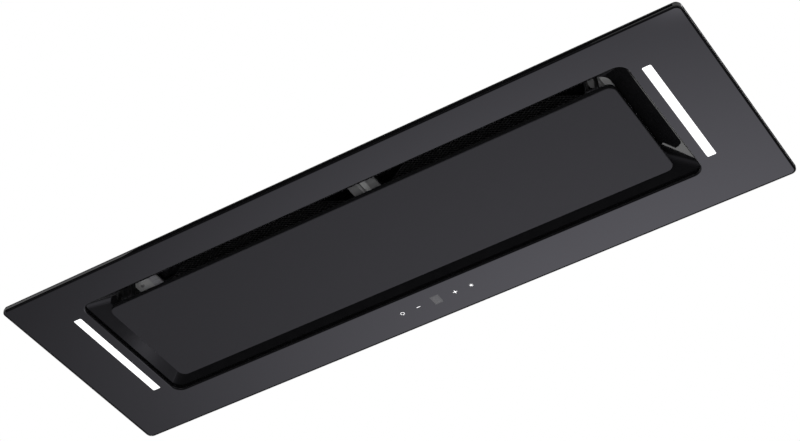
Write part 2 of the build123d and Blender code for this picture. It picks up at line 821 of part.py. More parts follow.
# Catches: magnets in moulded holders on the collar's front wall pull on the tray's front stiffener.
catch_z = panel_box_top + catch_gap
catch_rear = panel_box_front + catch_reach
magnet_y = panel_box_front + panel_box_lip / 2
catch_places = [(side * catch_x, magnet_y) for side_name, side in sides]
with BuildPart() as catch_holders:
    for side_name, side in sides:
        block(
            (side * catch_x - catch_length / 2, side * catch_x + catch_length / 2),
            (mouth_front, catch_rear),
            (catch_z, catch_z + catch_height),
        )
    with BuildSketch(Plane.XY.offset(catch_z)):
        with Locations(*catch_places):
            Rectangle(magnet_length, magnet_depth)
    extrude(amount=magnet_height, mode=Mode.SUBTRACT)
catch_holders.part.label = "catch_holders"
export_step(catch_holders.part, "parts/catch_holders.step")

with BuildPart() as catch_magnets:
    with BuildSketch(Plane.XY.offset(catch_z)):
        with Locations(*catch_places):
            Rectangle(magnet_length, magnet_depth)
    extrude(amount=magnet_height)
catch_magnets.part.label = "catch_magnets"
export_step(catch_magnets.part, "parts/catch_magnets.step")

# Body box: folded galvanised sheet on the frame, with a rear wall that leans in and a port over the filters.
wire_place = (case_x, case_y)
with BuildPart() as body_box:
    with BuildSketch(Plane.YZ.offset(-body_end)):
        with BuildLine():
            Polyline(
                (body_front, frame_top_z),
                (body_rear_low, frame_top_z),
                (body_rear_high, body_top_z),
                (body_front, body_top_z),
                close=True,
            )
        make_face()
    extrude(amount=2 * body_end)
    base = body_box.faces().sort_by(Axis.Z)[0]
    offset(amount=-steel_sheet, openings=base)
    body_foot_depth = body_rear_low - body_front
    body_foot_y = (body_rear_low + body_front) / 2
    foot_hole_depth = body_foot_depth - 2 * (steel_sheet + flange_lap)
    with BuildSketch(Plane.XY.offset(frame_top_z)):
        with Locations((0, body_foot_y)):
            Rectangle(2 * (body_end + body_flange), body_foot_depth + 2 * body_flange)
            Rectangle(2 * (body_end - steel_sheet), foot_hole_depth, mode=Mode.SUBTRACT)
    extrude(amount=steel_sheet)
    slab(
        (body_port_length, body_port_depth, 0.0),
        body_top_z - steel_sheet,
        body_top_z,
        y=opening_y,
        mode=Mode.SUBTRACT,
    )
    with BuildSketch(Plane.XY.offset(body_top_z)):
        with Locations(wire_place):
            Circle(wire_hole_radius)
    extrude(amount=-steel_sheet, mode=Mode.SUBTRACT)
body_box.part.label = "body_box"
export_step(body_box.part, "parts/body_box.step")

# Blower cover: folded galvanised sheet with a sloping rear wall, open below and with the duct port on top.
port_outline = (outlet_length - 2 * outlet_wall, outlet_depth - 2 * outlet_wall, outlet_corner - outlet_wall)
with BuildPart() as blower_cover:
    with BuildSketch(Plane.YZ.offset(-cover_end)):
        with BuildLine():
            Polyline(
                (cover_front, body_top_z),
                (cover_rear, body_top_z),
                (cover_top_rear, cover_top_z),
                (cover_front, cover_top_z),
                close=True,
            )
        make_face()
    extrude(amount=2 * cover_end)
    base = blower_cover.faces().sort_by(Axis.Z)[0]
    offset(amount=-steel_sheet, openings=base)
    cover_foot_depth = cover_rear - cover_front
    cover_hole_depth = cover_foot_depth - 2 * (steel_sheet + flange_lap)
    with BuildSketch(Plane.XY.offset(body_top_z)):
        with Locations((0, (cover_front + cover_rear + cover_flange) / 2)):
            Rectangle(2 * (cover_end + cover_flange), cover_foot_depth + cover_flange)
        with Locations((0, (cover_front + cover_rear) / 2)):
            Rectangle(2 * (cover_end - steel_sheet), cover_hole_depth, mode=Mode.SUBTRACT)
    extrude(amount=steel_sheet)
    slab(port_outline, cover_top_z - steel_sheet, cover_top_z, y=outlet_y, mode=Mode.SUBTRACT)
blower_cover.part.label = "blower_cover"
export_step(blower_cover.part, "parts/blower_cover.step")

# Scroll: a wrap that spirals out round the impeller in three quarter turns and rises to the outlet.
radii = [scroll_start + scroll_half * turn for turn in (1, 3, 5)]
near = shaft_y + scroll_half
far = shaft_y - scroll_half
high = shaft_z + scroll_half
low = shaft_z - scroll_half
spiral_top = low + radii[0]
spiral_rear = near + radii[0]
spiral_bottom = low - radii[1]
outlet_rear = scroll_front + scroll_outlet
diagonal = math.sqrt(0.5)
with BuildPart() as scroll_wrap:
    with BuildSketch(Plane.YZ.offset(-cheek_x)):
        with BuildLine():
            Line((outlet_rear, scroll_top), (outlet_rear, spiral_top + scroll_tongue))
            ThreePointArc(
                (outlet_rear, spiral_top + scroll_tongue),
                (
                    outlet_rear + scroll_tongue * (1 - diagonal),
                    spiral_top + scroll_tongue * (1 - diagonal),
                ),
                (outlet_rear + scroll_tongue, spiral_top),
            )
            Line((outlet_rear + scroll_tongue, spiral_top), (near, spiral_top))
            ThreePointArc(
                (near, spiral_top),
                (near + radii[0] * diagonal, low + radii[0] * diagonal),
                (spiral_rear, low),
            )
            ThreePointArc(
                (spiral_rear, low),
                (far + radii[1] * diagonal, low - radii[1] * diagonal),
                (far, spiral_bottom),
            )
            ThreePointArc(
                (far, spiral_bottom),
                (far - radii[2] * diagonal, high - radii[2] * diagonal),
                (scroll_front, high),
            )
            Line((scroll_front, high), (scroll_front, scroll_top))
        trace(line_width=scroll_sheet)
    extrude(amount=scroll_length)
    block(
        (-cheek_x, cheek_x),
        (scroll_front - scroll_sheet, outlet_rear + scroll_sheet),
        (scroll_top, scroll_top + scroll_sheet),
        Mode.SUBTRACT,
    )
scroll_wrap.part.label = "scroll_wrap"
export_step(scroll_wrap.part, "parts/scroll_wrap.step")

# Cheeks: the scroll's side plates, each with a coned inlet and a tab under the cover's top.
tab_y = (scroll_front + outlet_rear) / 2
cheek_trim = scroll_edge + part_clearance
for side_name, side in sides:
    plate_x = min(side * cheek_x, side * cheek_outer_x)
    with BuildPart() as scroll_cheek:
        with BuildSketch(Plane.YZ.offset(plate_x)):
            with BuildLine():
                Polyline((outlet_rear, scroll_top), (outlet_rear, spiral_top), (near, spiral_top))
                ThreePointArc(
                    (near, spiral_top),
                    (near + radii[0] * diagonal, low + radii[0] * diagonal),
                    (spiral_rear, low),
                )
                ThreePointArc(
                    (spiral_rear, low),
                    (far + radii[1] * diagonal, low - radii[1] * diagonal),
                    (far, spiral_bottom),
                )
                ThreePointArc(
                    (far, spiral_bottom),
                    (far - radii[2] * diagonal, high - radii[2] * diagonal),
                    (scroll_front, high),
                )
                Polyline((scroll_front, high), (scroll_front, scroll_top), (outlet_rear, scroll_top))
            make_face()
            offset(amount=scroll_edge)
            with Locations((shaft_y, shaft_z)):
                Circle(inlet_radius, mode=Mode.SUBTRACT)
        extrude(amount=scroll_sheet)
        block(
            (plate_x, plate_x + scroll_sheet),
            (scroll_front - cheek_trim, outlet_rear + cheek_trim),
            (scroll_top, scroll_top + cheek_trim),
            Mode.SUBTRACT,
        )
        with BuildSketch(Plane.XZ.offset(-shaft_y)):
            with BuildLine():
                Line(
                    (side * (cheek_outer_x - scroll_sheet / 2), shaft_z + inlet_radius + scroll_sheet / 2),
                    (side * (cheek_x - inlet_depth), shaft_z + inlet_throat),
                )
            trace(line_width=scroll_sheet)
        revolve(axis=shaft_line)
        block(
            sorted((side * cheek_outer_x, side * (cheek_outer_x + cheek_tab))),
            (tab_y - cheek_tab_depth / 2, tab_y + cheek_tab_depth / 2),
            (scroll_top - scroll_sheet, scroll_top),
        )
    scroll_cheek.part.label = f"scroll_cheek_{side_name}"
    export_step(scroll_cheek.part, f"parts/scroll_cheek_{side_name}.step")

# Impeller: two rings and a middle plate carry forward-curved blades, and a hub joins them to the shaft.
impeller_plane = Plane(origin=(-impeller_length / 2, shaft_y, shaft_z), x_dir=(0, 1, 0), z_dir=(1, 0, 0))
plate_plane = Plane(origin=(-impeller_plate / 2, shaft_y, shaft_z), x_dir=(0, 1, 0), z_dir=(1, 0, 0))
hub_plane = Plane(origin=(-hub_length / 2, shaft_y, shaft_z), x_dir=(0, 1, 0), z_dir=(1, 0, 0))
blade_tip_radius = impeller_radius - blade_sheet / 2
blade_middle_radius = (blade_root_radius + blade_tip_radius) / 2
with BuildPart() as impeller:
    with BuildSketch(impeller_plane.offset(impeller_ring)):
        with BuildLine():
            for blade in range(impeller_blades):
                turn = 360 * blade / impeller_blades
                ThreePointArc(
                    Vector(blade_root_radius, 0).rotate(Axis.Z, turn),
                    Vector(blade_middle_radius, 0).rotate(Axis.Z, turn - blade_lean * blade_bow),
                    Vector(blade_tip_radius, 0).rotate(Axis.Z, turn - blade_lean),
                )
        trace(line_width=blade_sheet)
    extrude(amount=impeller_length - 2 * impeller_ring)
    with BuildSketch(impeller_plane, impeller_plane.offset(impeller_length - impeller_ring)):
        Circle(impeller_radius)
        Circle(impeller_radius - impeller_ring, mode=Mode.SUBTRACT)
    extrude(amount=impeller_ring)
    with BuildSketch(plate_plane):
        Circle(impeller_radius)
    extrude(amount=impeller_plate)
    with BuildSketch(hub_plane):
        Circle(hub_radius)
    extrude(amount=hub_length)
    with BuildSketch(hub_plane):
        Circle(shaft_radius)
    extrude(amount=hub_length, mode=Mode.SUBTRACT)
impeller.part.label = "impeller"
export_step(impeller.part, "parts/impeller.step")

bearing_x = -(cheek_outer_x + bearing_carrier_gap)
bearing_end_x = bearing_x - bearing_length
motor_ring_x = cheek_outer_x + motor_carrier_gap
motor_x = motor_ring_x + carrier_sheet + bush_height
motor_boss_x = motor_x - motor_boss_length
shaft_left_x = bearing_end_x - shaft_overhang
shaft_right_x = motor_boss_x + motor_shaft_depth - shaft_overhang
with BuildPart() as impeller_shaft:
    with BuildSketch(Plane(origin=(shaft_left_x, shaft_y, shaft_z), x_dir=(0, 1, 0), z_dir=(1, 0, 0))):
        Circle(shaft_radius)
    extrude(amount=shaft_right_x - shaft_left_x)
impeller_shaft.part.label = "impeller_shaft"
export_step(impeller_shaft.part, "parts/impeller_shaft.step")

# Carriers: a three-armed spider on each cheek. The right one holds the motor, the left one the end bearing.
arm_outer = carrier_foot_radius + carrier_sheet / 2
motor_ring_outer = bush_circle + bush_radius + bush_margin
for name, foot_x, gap, out, ring_outer, ring_inner in (
    ("motor_carrier", cheek_outer_x, motor_carrier_gap, 1, motor_ring_outer, motor_ring_inner),
    ("bearing_carrier", -cheek_outer_x, bearing_carrier_gap, -1, bearing_cup_radius, bearing_radius),
):
    foot_plane = Plane(origin=(foot_x, shaft_y, shaft_z), x_dir=(0, 0, 1), z_dir=(out, 0, 0))
    ring_plane = foot_plane.offset(gap)
    with BuildPart() as carrier:
        with BuildSketch(ring_plane):
            Circle(ring_outer)
            with PolarLocations(arm_outer / 2, carrier_arms):
                Rectangle(arm_outer, carrier_arm_width)
            Circle(ring_inner, mode=Mode.SUBTRACT)
        extrude(amount=carrier_sheet)
        with BuildSketch(foot_plane):
            with PolarLocations(carrier_foot_radius, carrier_arms):
                Rectangle(carrier_sheet, carrier_arm_width)
        extrude(amount=gap)
        with BuildSketch(foot_plane):
            with PolarLocations(carrier_foot_radius, carrier_arms):
                Rectangle(carrier_foot_width, carrier_arm_width)
        extrude(amount=carrier_sheet)
        if out < 0:
            with BuildSketch(ring_plane):
                Circle(bearing_cup_radius)
                Circle(bearing_radius, mode=Mode.SUBTRACT)
            extrude(amount=bearing_length)
    carrier.part.label = name
    export_step(carrier.part, f"parts/{name}.step")

bearing_plane = Plane(origin=(bearing_end_x, shaft_y, shaft_z), x_dir=(0, 1, 0), z_dir=(1, 0, 0))
with BuildPart() as end_bearing:
    with BuildSketch(bearing_plane):
        Circle(bearing_radius)
        Circle(shaft_radius + shaft_running, mode=Mode.SUBTRACT)
    extrude(amount=bearing_length)
end_bearing.part.label = "end_bearing"
export_step(end_bearing.part, "parts/end_bearing.step")

bush_plane = Plane(origin=(motor_x - bush_height, shaft_y, shaft_z), x_dir=(0, 0, 1), z_dir=(1, 0, 0))
with BuildPart() as motor_bushes:
    with BuildSketch(bush_plane):
        with PolarLocations(bush_circle, carrier_arms):
            Circle(bush_radius)
    extrude(amount=bush_height)
motor_bushes.part.label = "motor_bushes"
export_step(motor_bushes.part, "parts/motor_bushes.step")

# Motor: a deep-drawn can with cooling slots in its end and a boss that the shaft comes out of.
motor_plane = Plane(origin=(motor_x, shaft_y, shaft_z), x_dir=(0, 1, 0), z_dir=(1, 0, 0))
with BuildPart() as motor_housing:
    with BuildSketch(motor_plane):
        Circle(motor_radius)
    extrude(amount=motor_length)
    chamfer(motor_housing.edges().sort_by(Axis.X)[-1], motor_chamfer)
    with BuildSketch(motor_plane):
        Circle(motor_boss_radius)
    extrude(amount=-motor_boss_length)
    with BuildSketch(motor_plane.offset(motor_length)):
        with PolarLocations(motor_vent_circle, motor_vents):
            Rectangle(motor_vent_length, motor_vent_width)
    extrude(amount=-motor_vent_depth, mode=Mode.SUBTRACT)
    with BuildSketch(motor_plane.offset(-motor_boss_length)):
        Circle(shaft_radius + shaft_running)
    extrude(amount=motor_shaft_depth, mode=Mode.SUBTRACT)
motor_housing.part.label = "motor_housing"
export_step(motor_housing.part, "parts/motor_housing.step")

# Capacitor: strapped to the cover's front wall by a band with a tab.
capacitor_wall = cover_front + steel_sheet
capacitor_y = capacitor_wall + clip_sheet + capacitor_radius
capacitor_plane = Plane(
    origin=(capacitor_x - capacitor_length / 2, capacitor_y, capacitor_z), x_dir=(0, 1, 0), z_dir=(1, 0, 0)
)
with BuildPart() as capacitor:
    with BuildSketch(capacitor_plane):
        Circle(capacitor_radius)
    extrude(amount=capacitor_length)
    chamfer(capacitor.edges(), capacitor_chamfer)
    with BuildSketch(capacitor_plane.offset(capacitor_length)):
        with GridLocations(capacitor_lead_spread, capacitor_lead_spread, 2, 1):
            Rectangle(capacitor_lead_width, capacitor_lead)
    extrude(amount=capacitor_lead)
capacitor.part.label = "capacitor"
export_step(capacitor.part, "parts/capacitor.step")

with BuildPart() as capacitor_clip:
    with BuildSketch(capacitor_plane.offset((capacitor_length - clip_width) / 2)):
        Circle(capacitor_radius + clip_sheet)
        with Locations((-capacitor_radius - clip_sheet / 2, (capacitor_radius + clip_tab) / 2)):
            Rectangle(clip_sheet, capacitor_radius + clip_tab)
        Circle(capacitor_radius, mode=Mode.SUBTRACT)
    extrude(amount=clip_width)
capacitor_clip.part.label = "capacitor_clip"
export_step(capacitor_clip.part, "parts/capacitor_clip.step")

# Outlet: a moulded spigot on the cover, with a ledge inside that the two flaps close on.
outlet_outline = (outlet_length, outlet_depth, outlet_corner)
ledge_z = cover_top_z + outlet_ledge_z
ledge_top_z = ledge_z + outlet_ledge_sheet
rod_plane = Plane(origin=(-outlet_length / 2, outlet_y, flap_z), x_dir=(0, 1, 0), z_dir=(1, 0, 0))
with BuildPart() as outlet_spigot:
    slab(outlet_outline, cover_top_z, cover_top_z + outlet_height, y=outlet_y)
    slab(outlet_outline, cover_top_z, cover_top_z + outlet_wall, y=outlet_y, grow=outlet_flange)
    slab(port_outline, cover_top_z, cover_top_z + outlet_height, y=outlet_y, mode=Mode.SUBTRACT)
    slab(outlet_outline, ledge_z, ledge_top_z, y=outlet_y)
    slab(port_outline, ledge_z, ledge_top_z, y=outlet_y, grow=-outlet_ledge, mode=Mode.SUBTRACT)
    with BuildSketch(rod_plane):
        Circle(rod_radius)
    extrude(amount=outlet_length, mode=Mode.SUBTRACT)
outlet_spigot.part.label = "outlet_spigot"
export_step(outlet_spigot.part, "parts/outlet_spigot.step")

with BuildPart() as damper_rod:
    with BuildSketch(rod_plane):
        Circle(rod_radius)
    extrude(amount=outlet_length)
damper_rod.part.label = "damper_rod"
export_step(damper_rod.part, "parts/damper_rod.step")

# Flaps: two moulded leaves that turn on the rod, open upwards in the air stream and fall shut.
flap_end = outlet_length / 2 - outlet_wall - flap_side_gap
flap_edge = outlet_depth / 2 - outlet_wall - flap_side_gap
flap_corner = outlet_corner - outlet_wall - flap_side_gap
inner_knuckle_x = knuckle_x - knuckle_length - knuckle_gap
for flap_name, way, centre in (("front", -1, knuckle_x), ("rear", 1, inner_knuckle_x)):
    knuckle_starts = (-centre - knuckle_length / 2, centre - knuckle_length / 2)
    with BuildPart() as damper_flap:
        block(
            (-flap_end, flap_end),
            sorted((outlet_y + way * flap_root, outlet_y + way * flap_edge)),
            (flap_z - flap_sheet / 2, flap_z + flap_sheet / 2),
        )
        upright = damper_flap.edges().filter_by(Axis.Z).group_by(Axis.Y)
        fillet(upright[-1] if way > 0 else upright[0], flap_corner)
        for start in knuckle_starts:
            block(
                (start, start + knuckle_length),
                sorted((outlet_y, outlet_y + way * (flap_root + flap_sheet))),
                (flap_z - flap_sheet / 2, flap_z + flap_sheet / 2),
            )
            with BuildSketch(Plane(origin=(start, outlet_y, flap_z), x_dir=(0, 1, 0), z_dir=(1, 0, 0))):
                Circle(knuckle_radius)
            extrude(amount=knuckle_length)
        with BuildSketch(rod_plane):
            Circle(rod_radius + rod_running)
        extrude(amount=outlet_length, mode=Mode.SUBTRACT)
    damper_flap.part.label = f"damper_flap_{flap_name}"
    export_step(damper_flap.part, f"parts/damper_flap_{flap_name}.step")

# Control case: a moulded box on the body's top, with pillars for the board and a hole for the wires.
case_outline = (case_length, case_depth, case_corner)
case_top = case_z + case_height - case_lid
case_floor = case_z + case_wall
power_board_z = case_floor + case_post_height
power_board_top = power_board_z + board_sheet
case_posts = [
    (case_x + i * (case_length / 2 - case_post_inset), case_y + j * (case_depth / 2 - case_post_inset))
    for i in (-1, 1)
    for j in (-1, 1)
]
gland_plane = Plane(origin=(case_x, case_rear, case_z + gland_height), x_dir=(1, 0, 0), z_dir=(0, 1, 0))
with BuildPart() as control_case:
    slab(case_outline, case_z, case_top, case_x, case_y)
    slab(case_outline, case_floor, case_top, case_x, case_y, -case_wall, Mode.SUBTRACT)
    pillars(case_posts, case_post, case_floor, power_board_z)
    with BuildSketch(Plane.XY.offset(case_z)):
        with Locations(wire_place):
            Circle(wire_hole_radius)
    extrude(amount=case_wall, mode=Mode.SUBTRACT)
    with BuildSketch(gland_plane.offset(-case_wall)):
        Circle(gland_thread_radius)
    extrude(amount=case_wall, mode=Mode.SUBTRACT)
control_case.part.label = "control_case"
export_step(control_case.part, "parts/control_case.step")

lid_inset = case_wall + case_lid_clearance
skirt_z = case_top - case_lid_skirt
with BuildPart() as control_lid:
    slab(case_outline, case_top, case_top + case_lid, case_x, case_y)
    slab(case_outline, skirt_z, case_top, case_x, case_y, -lid_inset)
    slab(case_outline, skirt_z, case_top, case_x, case_y, -lid_inset - case_wall, Mode.SUBTRACT)
control_lid.part.label = "control_lid"
export_step(control_lid.part, "parts/control_lid.step")

terminal_y = case_rear - case_wall - terminal_setback
transformer_y = case_y - case_depth / 2 + transformer_setback
terminal_mouth = (case_x, terminal_y + terminal_depth / 2, power_board_top + terminal_height / 2)
terminal_plane = Plane(origin=terminal_mouth, x_dir=(1, 0, 0), z_dir=(0, 1, 0))
with BuildPart() as power_board:
    slab(case_outline, power_board_z, power_board_top, case_x, case_y, -board_margin)
    block(
        (case_x - terminal_length / 2, case_x + terminal_length / 2),
        (terminal_y - terminal_depth / 2, terminal_y + terminal_depth / 2),
        (power_board_top, power_board_top + terminal_height),
    )
    with BuildSketch(terminal_plane):
        with GridLocations(terminal_length / terminal_ways, terminal_height, terminal_ways, 1):
            Rectangle(terminal_hole, terminal_hole)
    extrude(amount=-terminal_hole_depth, mode=Mode.SUBTRACT)
    block(
        (case_x - transformer_length / 2, case_x + transformer_length / 2),
        (transformer_y - transformer_depth / 2, transformer_y + transformer_depth / 2),
        (power_board_top, power_board_top + transformer_height),
    )
    with BuildSketch(Plane.XY.offset(power_board_top)):
        with Locations((case_x, case_y)):
            with GridLocations(relay_pitch, relay_pitch, relays, 1):
                Rectangle(relay_length, relay_depth)
    extrude(amount=relay_height)
power_board.part.label = "power_board"
export_step(power_board.part, "parts/power_board.step")

# Cable gland: a nut inside the case, a hexagon outside it and a domed cap with the cable's bore.
with BuildPart() as cable_gland:
    with BuildSketch(gland_plane.offset(-case_wall - gland_nut_height)):
        RegularPolygon(gland_hex, 6)
    extrude(amount=gland_nut_height)
    with BuildSketch(gland_plane.offset(-case_wall)):
        Circle(gland_thread_radius)
    extrude(amount=case_wall)
    with BuildSketch(gland_plane):
        RegularPolygon(gland_hex, 6)
    extrude(amount=gland_hex_height)
    with BuildSketch(gland_plane.offset(gland_hex_height)):
        Circle(gland_dome_radius)
    extrude(amount=gland_dome_height)
    chamfer(cable_gland.edges().sort_by(Axis.Y)[-1], gland_dome_chamfer)
    with BuildSketch(gland_plane.offset(-case_wall - gland_nut_height)):
        Circle(gland_bore)
    extrude(amount=gland_nut_height + case_wall + gland_hex_height + gland_dome_height, mode=Mode.SUBTRACT)
cable_gland.part.label = "cable_gland"
export_step(cable_gland.part, "parts/cable_gland.step")

# Cabinet brackets: an angle on each end of the body, with two slots over the cabinet's bottom board.
with BuildPart() as cabinet_brackets:
    for side_name, side in sides:
        wall_x = side * body_end
        block(
            sorted((wall_x, wall_x + side * bracket_sheet)),
            (bracket_y - bracket_length / 2, bracket_y + bracket_length / 2),
            (board_z, board_z + bracket_rise),
        )
        block(
            sorted((wall_x, wall_x + side * bracket_reach)),
            (bracket_y - bracket_length / 2, bracket_y + bracket_length / 2),
            (board_z, board_z + bracket_sheet),
        )
        with BuildSketch(Plane.XY.offset(board_z)):
            with Locations((wall_x + side * bracket_slot_x, bracket_y)):
                with GridLocations(bracket_reach, bracket_slot_pitch, 1, 2):
                    SlotOverall(bracket_slot_length, 2 * bracket_slot_radius)
        extrude(amount=bracket_sheet, mode=Mode.SUBTRACT)
cabinet_brackets.part.label = "cabinet_brackets"
export_step(cabinet_brackets.part, "parts/cabinet_brackets.step")

# Screws: hexagon heads that join the box to the frame, the deck to the box and the cover to the box.
head_rows = (
    (body_screw_places, frame_top_z + steel_sheet),
    (deck_screw_places, deck_z - screw_head_height),
    (cover_screw_places, body_top_z + steel_sheet),
)
with BuildPart() as assembly_screws:
    for places, seat_z in head_rows:
        with BuildSketch(Plane.XY.offset(seat_z)):
            with Locations(*places):
                RegularPolygon(screw_head_radius, 6)
        extrude(amount=screw_head_height)
assembly_screws.part.label = "assembly_screws"
export_step(assembly_screws.part, "parts/assembly_screws.step")
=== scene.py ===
import math

import bmesh
import bpy
from mathutils import Matrix, Vector


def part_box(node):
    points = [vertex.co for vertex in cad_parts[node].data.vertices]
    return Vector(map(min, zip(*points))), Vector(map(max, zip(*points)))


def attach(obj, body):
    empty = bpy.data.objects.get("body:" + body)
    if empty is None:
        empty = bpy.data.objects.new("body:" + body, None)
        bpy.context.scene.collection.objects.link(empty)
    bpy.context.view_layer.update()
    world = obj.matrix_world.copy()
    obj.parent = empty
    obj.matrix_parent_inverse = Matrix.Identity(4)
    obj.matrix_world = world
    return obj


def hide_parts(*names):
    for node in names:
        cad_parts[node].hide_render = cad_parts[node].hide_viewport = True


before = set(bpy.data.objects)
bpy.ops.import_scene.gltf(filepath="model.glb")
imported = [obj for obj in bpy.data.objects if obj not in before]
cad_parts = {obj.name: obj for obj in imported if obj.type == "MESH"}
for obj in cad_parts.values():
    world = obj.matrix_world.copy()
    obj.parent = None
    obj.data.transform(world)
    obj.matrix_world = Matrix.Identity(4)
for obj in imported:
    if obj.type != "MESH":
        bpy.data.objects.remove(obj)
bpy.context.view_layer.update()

# Camera: under the hood and beyond its wall side, looking up at the fascia with a long lens, so that the
# rear edge is nearest and the control strip is furthest.
lens = bpy.data.cameras.new("camera")
lens.sensor_width = 36.0
lens.lens = 93.285
camera = bpy.data.objects.new("camera", lens)
camera.location = (-0.95012, 1.48017, -1.60069)
camera.rotation_euler = [math.radians(turn) for turn in (132.999, 0.264, -147.612)]
bpy.context.scene.collection.objects.link(camera)
bpy.context.scene.camera = camera
bpy.context.scene.view_settings.view_transform = "Standard"

# Floor: pale and matt, well below the hood, which hangs free above it. It is see-through from below, where
# some views have their camera.
floor_z = -1.75
floor_size = 8.0


def stage_sheet(name, place, aim, length, width, material):
    """A flat card at a place, turned towards a point, that isn't part of the hood."""
    sheet = bmesh.new()
    bmesh.ops.create_grid(sheet, x_segments=1, y_segments=1, size=0.5)
    bmesh.ops.scale(sheet, verts=sheet.verts, vec=(length, width, 1))
    turn = (Vector(aim) - Vector(place)).to_track_quat("Z", "Y").to_matrix()
    bmesh.ops.rotate(sheet, verts=sheet.verts, cent=(0, 0, 0), matrix=turn)
    bmesh.ops.translate(sheet, verts=sheet.verts, vec=place)
    mesh = bpy.data.meshes.new(name)
    sheet.to_mesh(mesh)
    sheet.free()
    mesh.materials.append(material)
    card = bpy.data.objects.new(name, mesh)
    bpy.context.scene.collection.objects.link(card)
    return card


floor_paint = bpy.data.materials.new("floor_paint")
floor_paint.use_nodes = True
tree = floor_paint.node_tree
shader = tree.nodes["Principled BSDF"]
shader.inputs["Base Color"].default_value = (0.70, 0.695, 0.715, 1)
shader.inputs["Roughness"].default_value = 0.9
clear = tree.nodes.new("ShaderNodeBsdfTransparent")
facing = tree.nodes.new("ShaderNodeNewGeometry")
either = tree.nodes.new("ShaderNodeMixShader")
tree.links.new(facing.outputs["Backfacing"], either.inputs[0])
tree.links.new(shader.outputs[0], either.inputs[1])
tree.links.new(clear.outputs[0], either.inputs[2])
tree.links.new(either.outputs[0], tree.nodes["Material Output"].inputs["Surface"])
stage_sheet("studio_floor", (0, 0, floor_z), (0, 0, 0), floor_size, floor_size, floor_paint)

# Reflector: a wide card just above the floor that only the gloss sees. It is dim, with one soft pool of
# light that fades across the fascia, a small one for a slope of the funnel and one for each other side.
reflector_level = 0.04
reflector_tint = (0.90, 0.885, 1.0, 1)
fascia_pool = ((0.40, -2.05), (1.40, 0.96), 1.80, (-0.30, 0.06))
slope_pool = ((0.03, -1.285), (0.09, 0.045), 2.2, None)
rear_pool = ((-1.3, 3.0), (1.5, 0.85), 0.9, None)
right_pool = ((3.1, 0.3), (0.8, 1.5), 0.9, None)
left_pool = ((-3.1, 0.0), (0.8, 1.8), 0.9, None)


def pool(tree, place, centre, reach, level, edge):
    """The light of one soft oval pool on the card, which may fade in along X between the ends of an edge."""
    move = tree.nodes.new("ShaderNodeMapping")
    move.vector_type = "POINT"
    move.inputs["Location"].default_value = (-centre[0] / reach[0], -centre[1] / reach[1], 0)
    move.inputs["Scale"].default_value = (1 / reach[0], 1 / reach[1], 0)
    tree.links.new(place, move.inputs["Vector"])
    square = tree.nodes.new("ShaderNodeVectorMath")
    square.operation = "DOT_PRODUCT"
    tree.links.new(move.outputs[0], square.inputs[0])
    tree.links.new(move.outputs[0], square.inputs[1])
    fade = tree.nodes.new("ShaderNodeMath")
    fade.operation = "MULTIPLY"
    fade.inputs[1].default_value = -1.0
    tree.links.new(square.outputs["Value"], fade.inputs[0])
    fall = tree.nodes.new("ShaderNodeMath")
    fall.operation = "EXPONENT"
    tree.links.new(fade.outputs[0], fall.inputs[0])
    light = tree.nodes.new("ShaderNodeMath")
    light.operation = "MULTIPLY"
    light.inputs[1].default_value = level
    tree.links.new(fall.outputs[0], light.inputs[0])
    if not edge:
        return light.outputs[0]
    split = tree.nodes.new("ShaderNodeSeparateXYZ")
    tree.links.new(place, split.inputs[0])
    step = tree.nodes.new("ShaderNodeMapRange")
    step.interpolation_type = "SMOOTHSTEP"
    step.inputs["From Min"].default_value, step.inputs["From Max"].default_value = edge
    tree.links.new(split.outputs["X"], step.inputs["Value"])
    cut = tree.nodes.new("ShaderNodeMath")
    cut.operation = "MULTIPLY"
    tree.links.new(light.outputs[0], cut.inputs[0])
    tree.links.new(step.outputs[0], cut.inputs[1])
    return cut.outputs[0]


reflector_cloth = bpy.data.materials.new("reflector_cloth")
reflector_cloth.use_nodes = True
tree = reflector_cloth.node_tree
tree.nodes.remove(tree.nodes["Principled BSDF"])
glow = tree.nodes.new("ShaderNodeEmission")
glow.inputs["Color"].default_value = reflector_tint
where = tree.nodes.new("ShaderNodeTexCoord")
total = None
for kind in (fascia_pool, slope_pool, rear_pool, right_pool, left_pool):
    light = pool(tree, where.outputs["Object"], *kind)
    add = tree.nodes.new("ShaderNodeMath")
    add.inputs[1].default_value = reflector_level
    tree.links.new(light, add.inputs[0])
    if total:
        tree.links.new(total, add.inputs[1])
    total = add.outputs[0]
tree.links.new(total, glow.inputs["Strength"])
tree.links.new(glow.outputs[0], tree.nodes["Material Output"].inputs["Surface"])
reflector_z = floor_z + 0.01
reflector = stage_sheet("reflector", (0, 0, reflector_z), (0, 0, 1), floor_size, floor_size, reflector_cloth)


# Flags: cloths and a card that only the gloss sees. The dark ones keep the near edges of the glass black,
# the grey ones dim its far rims and the bright card shows in the funnel's far slope.
def cloth(name, level):
    """A plain material of one even brightness."""
    material = bpy.data.materials.new(name)
    material.use_nodes = True
    shader = material.node_tree.nodes["Principled BSDF"]
    shader.inputs["Base Color"].default_value = (0.01, 0.01, 0.01, 1)
    shader.inputs["Specular IOR Level"].default_value = 0.0
    shader.inputs["Roughness"].default_value = 1.0
    shader.inputs["Emission Color"].default_value = (1, 1, 1, 1)
    shader.inputs["Emission Strength"].default_value = level
    return material


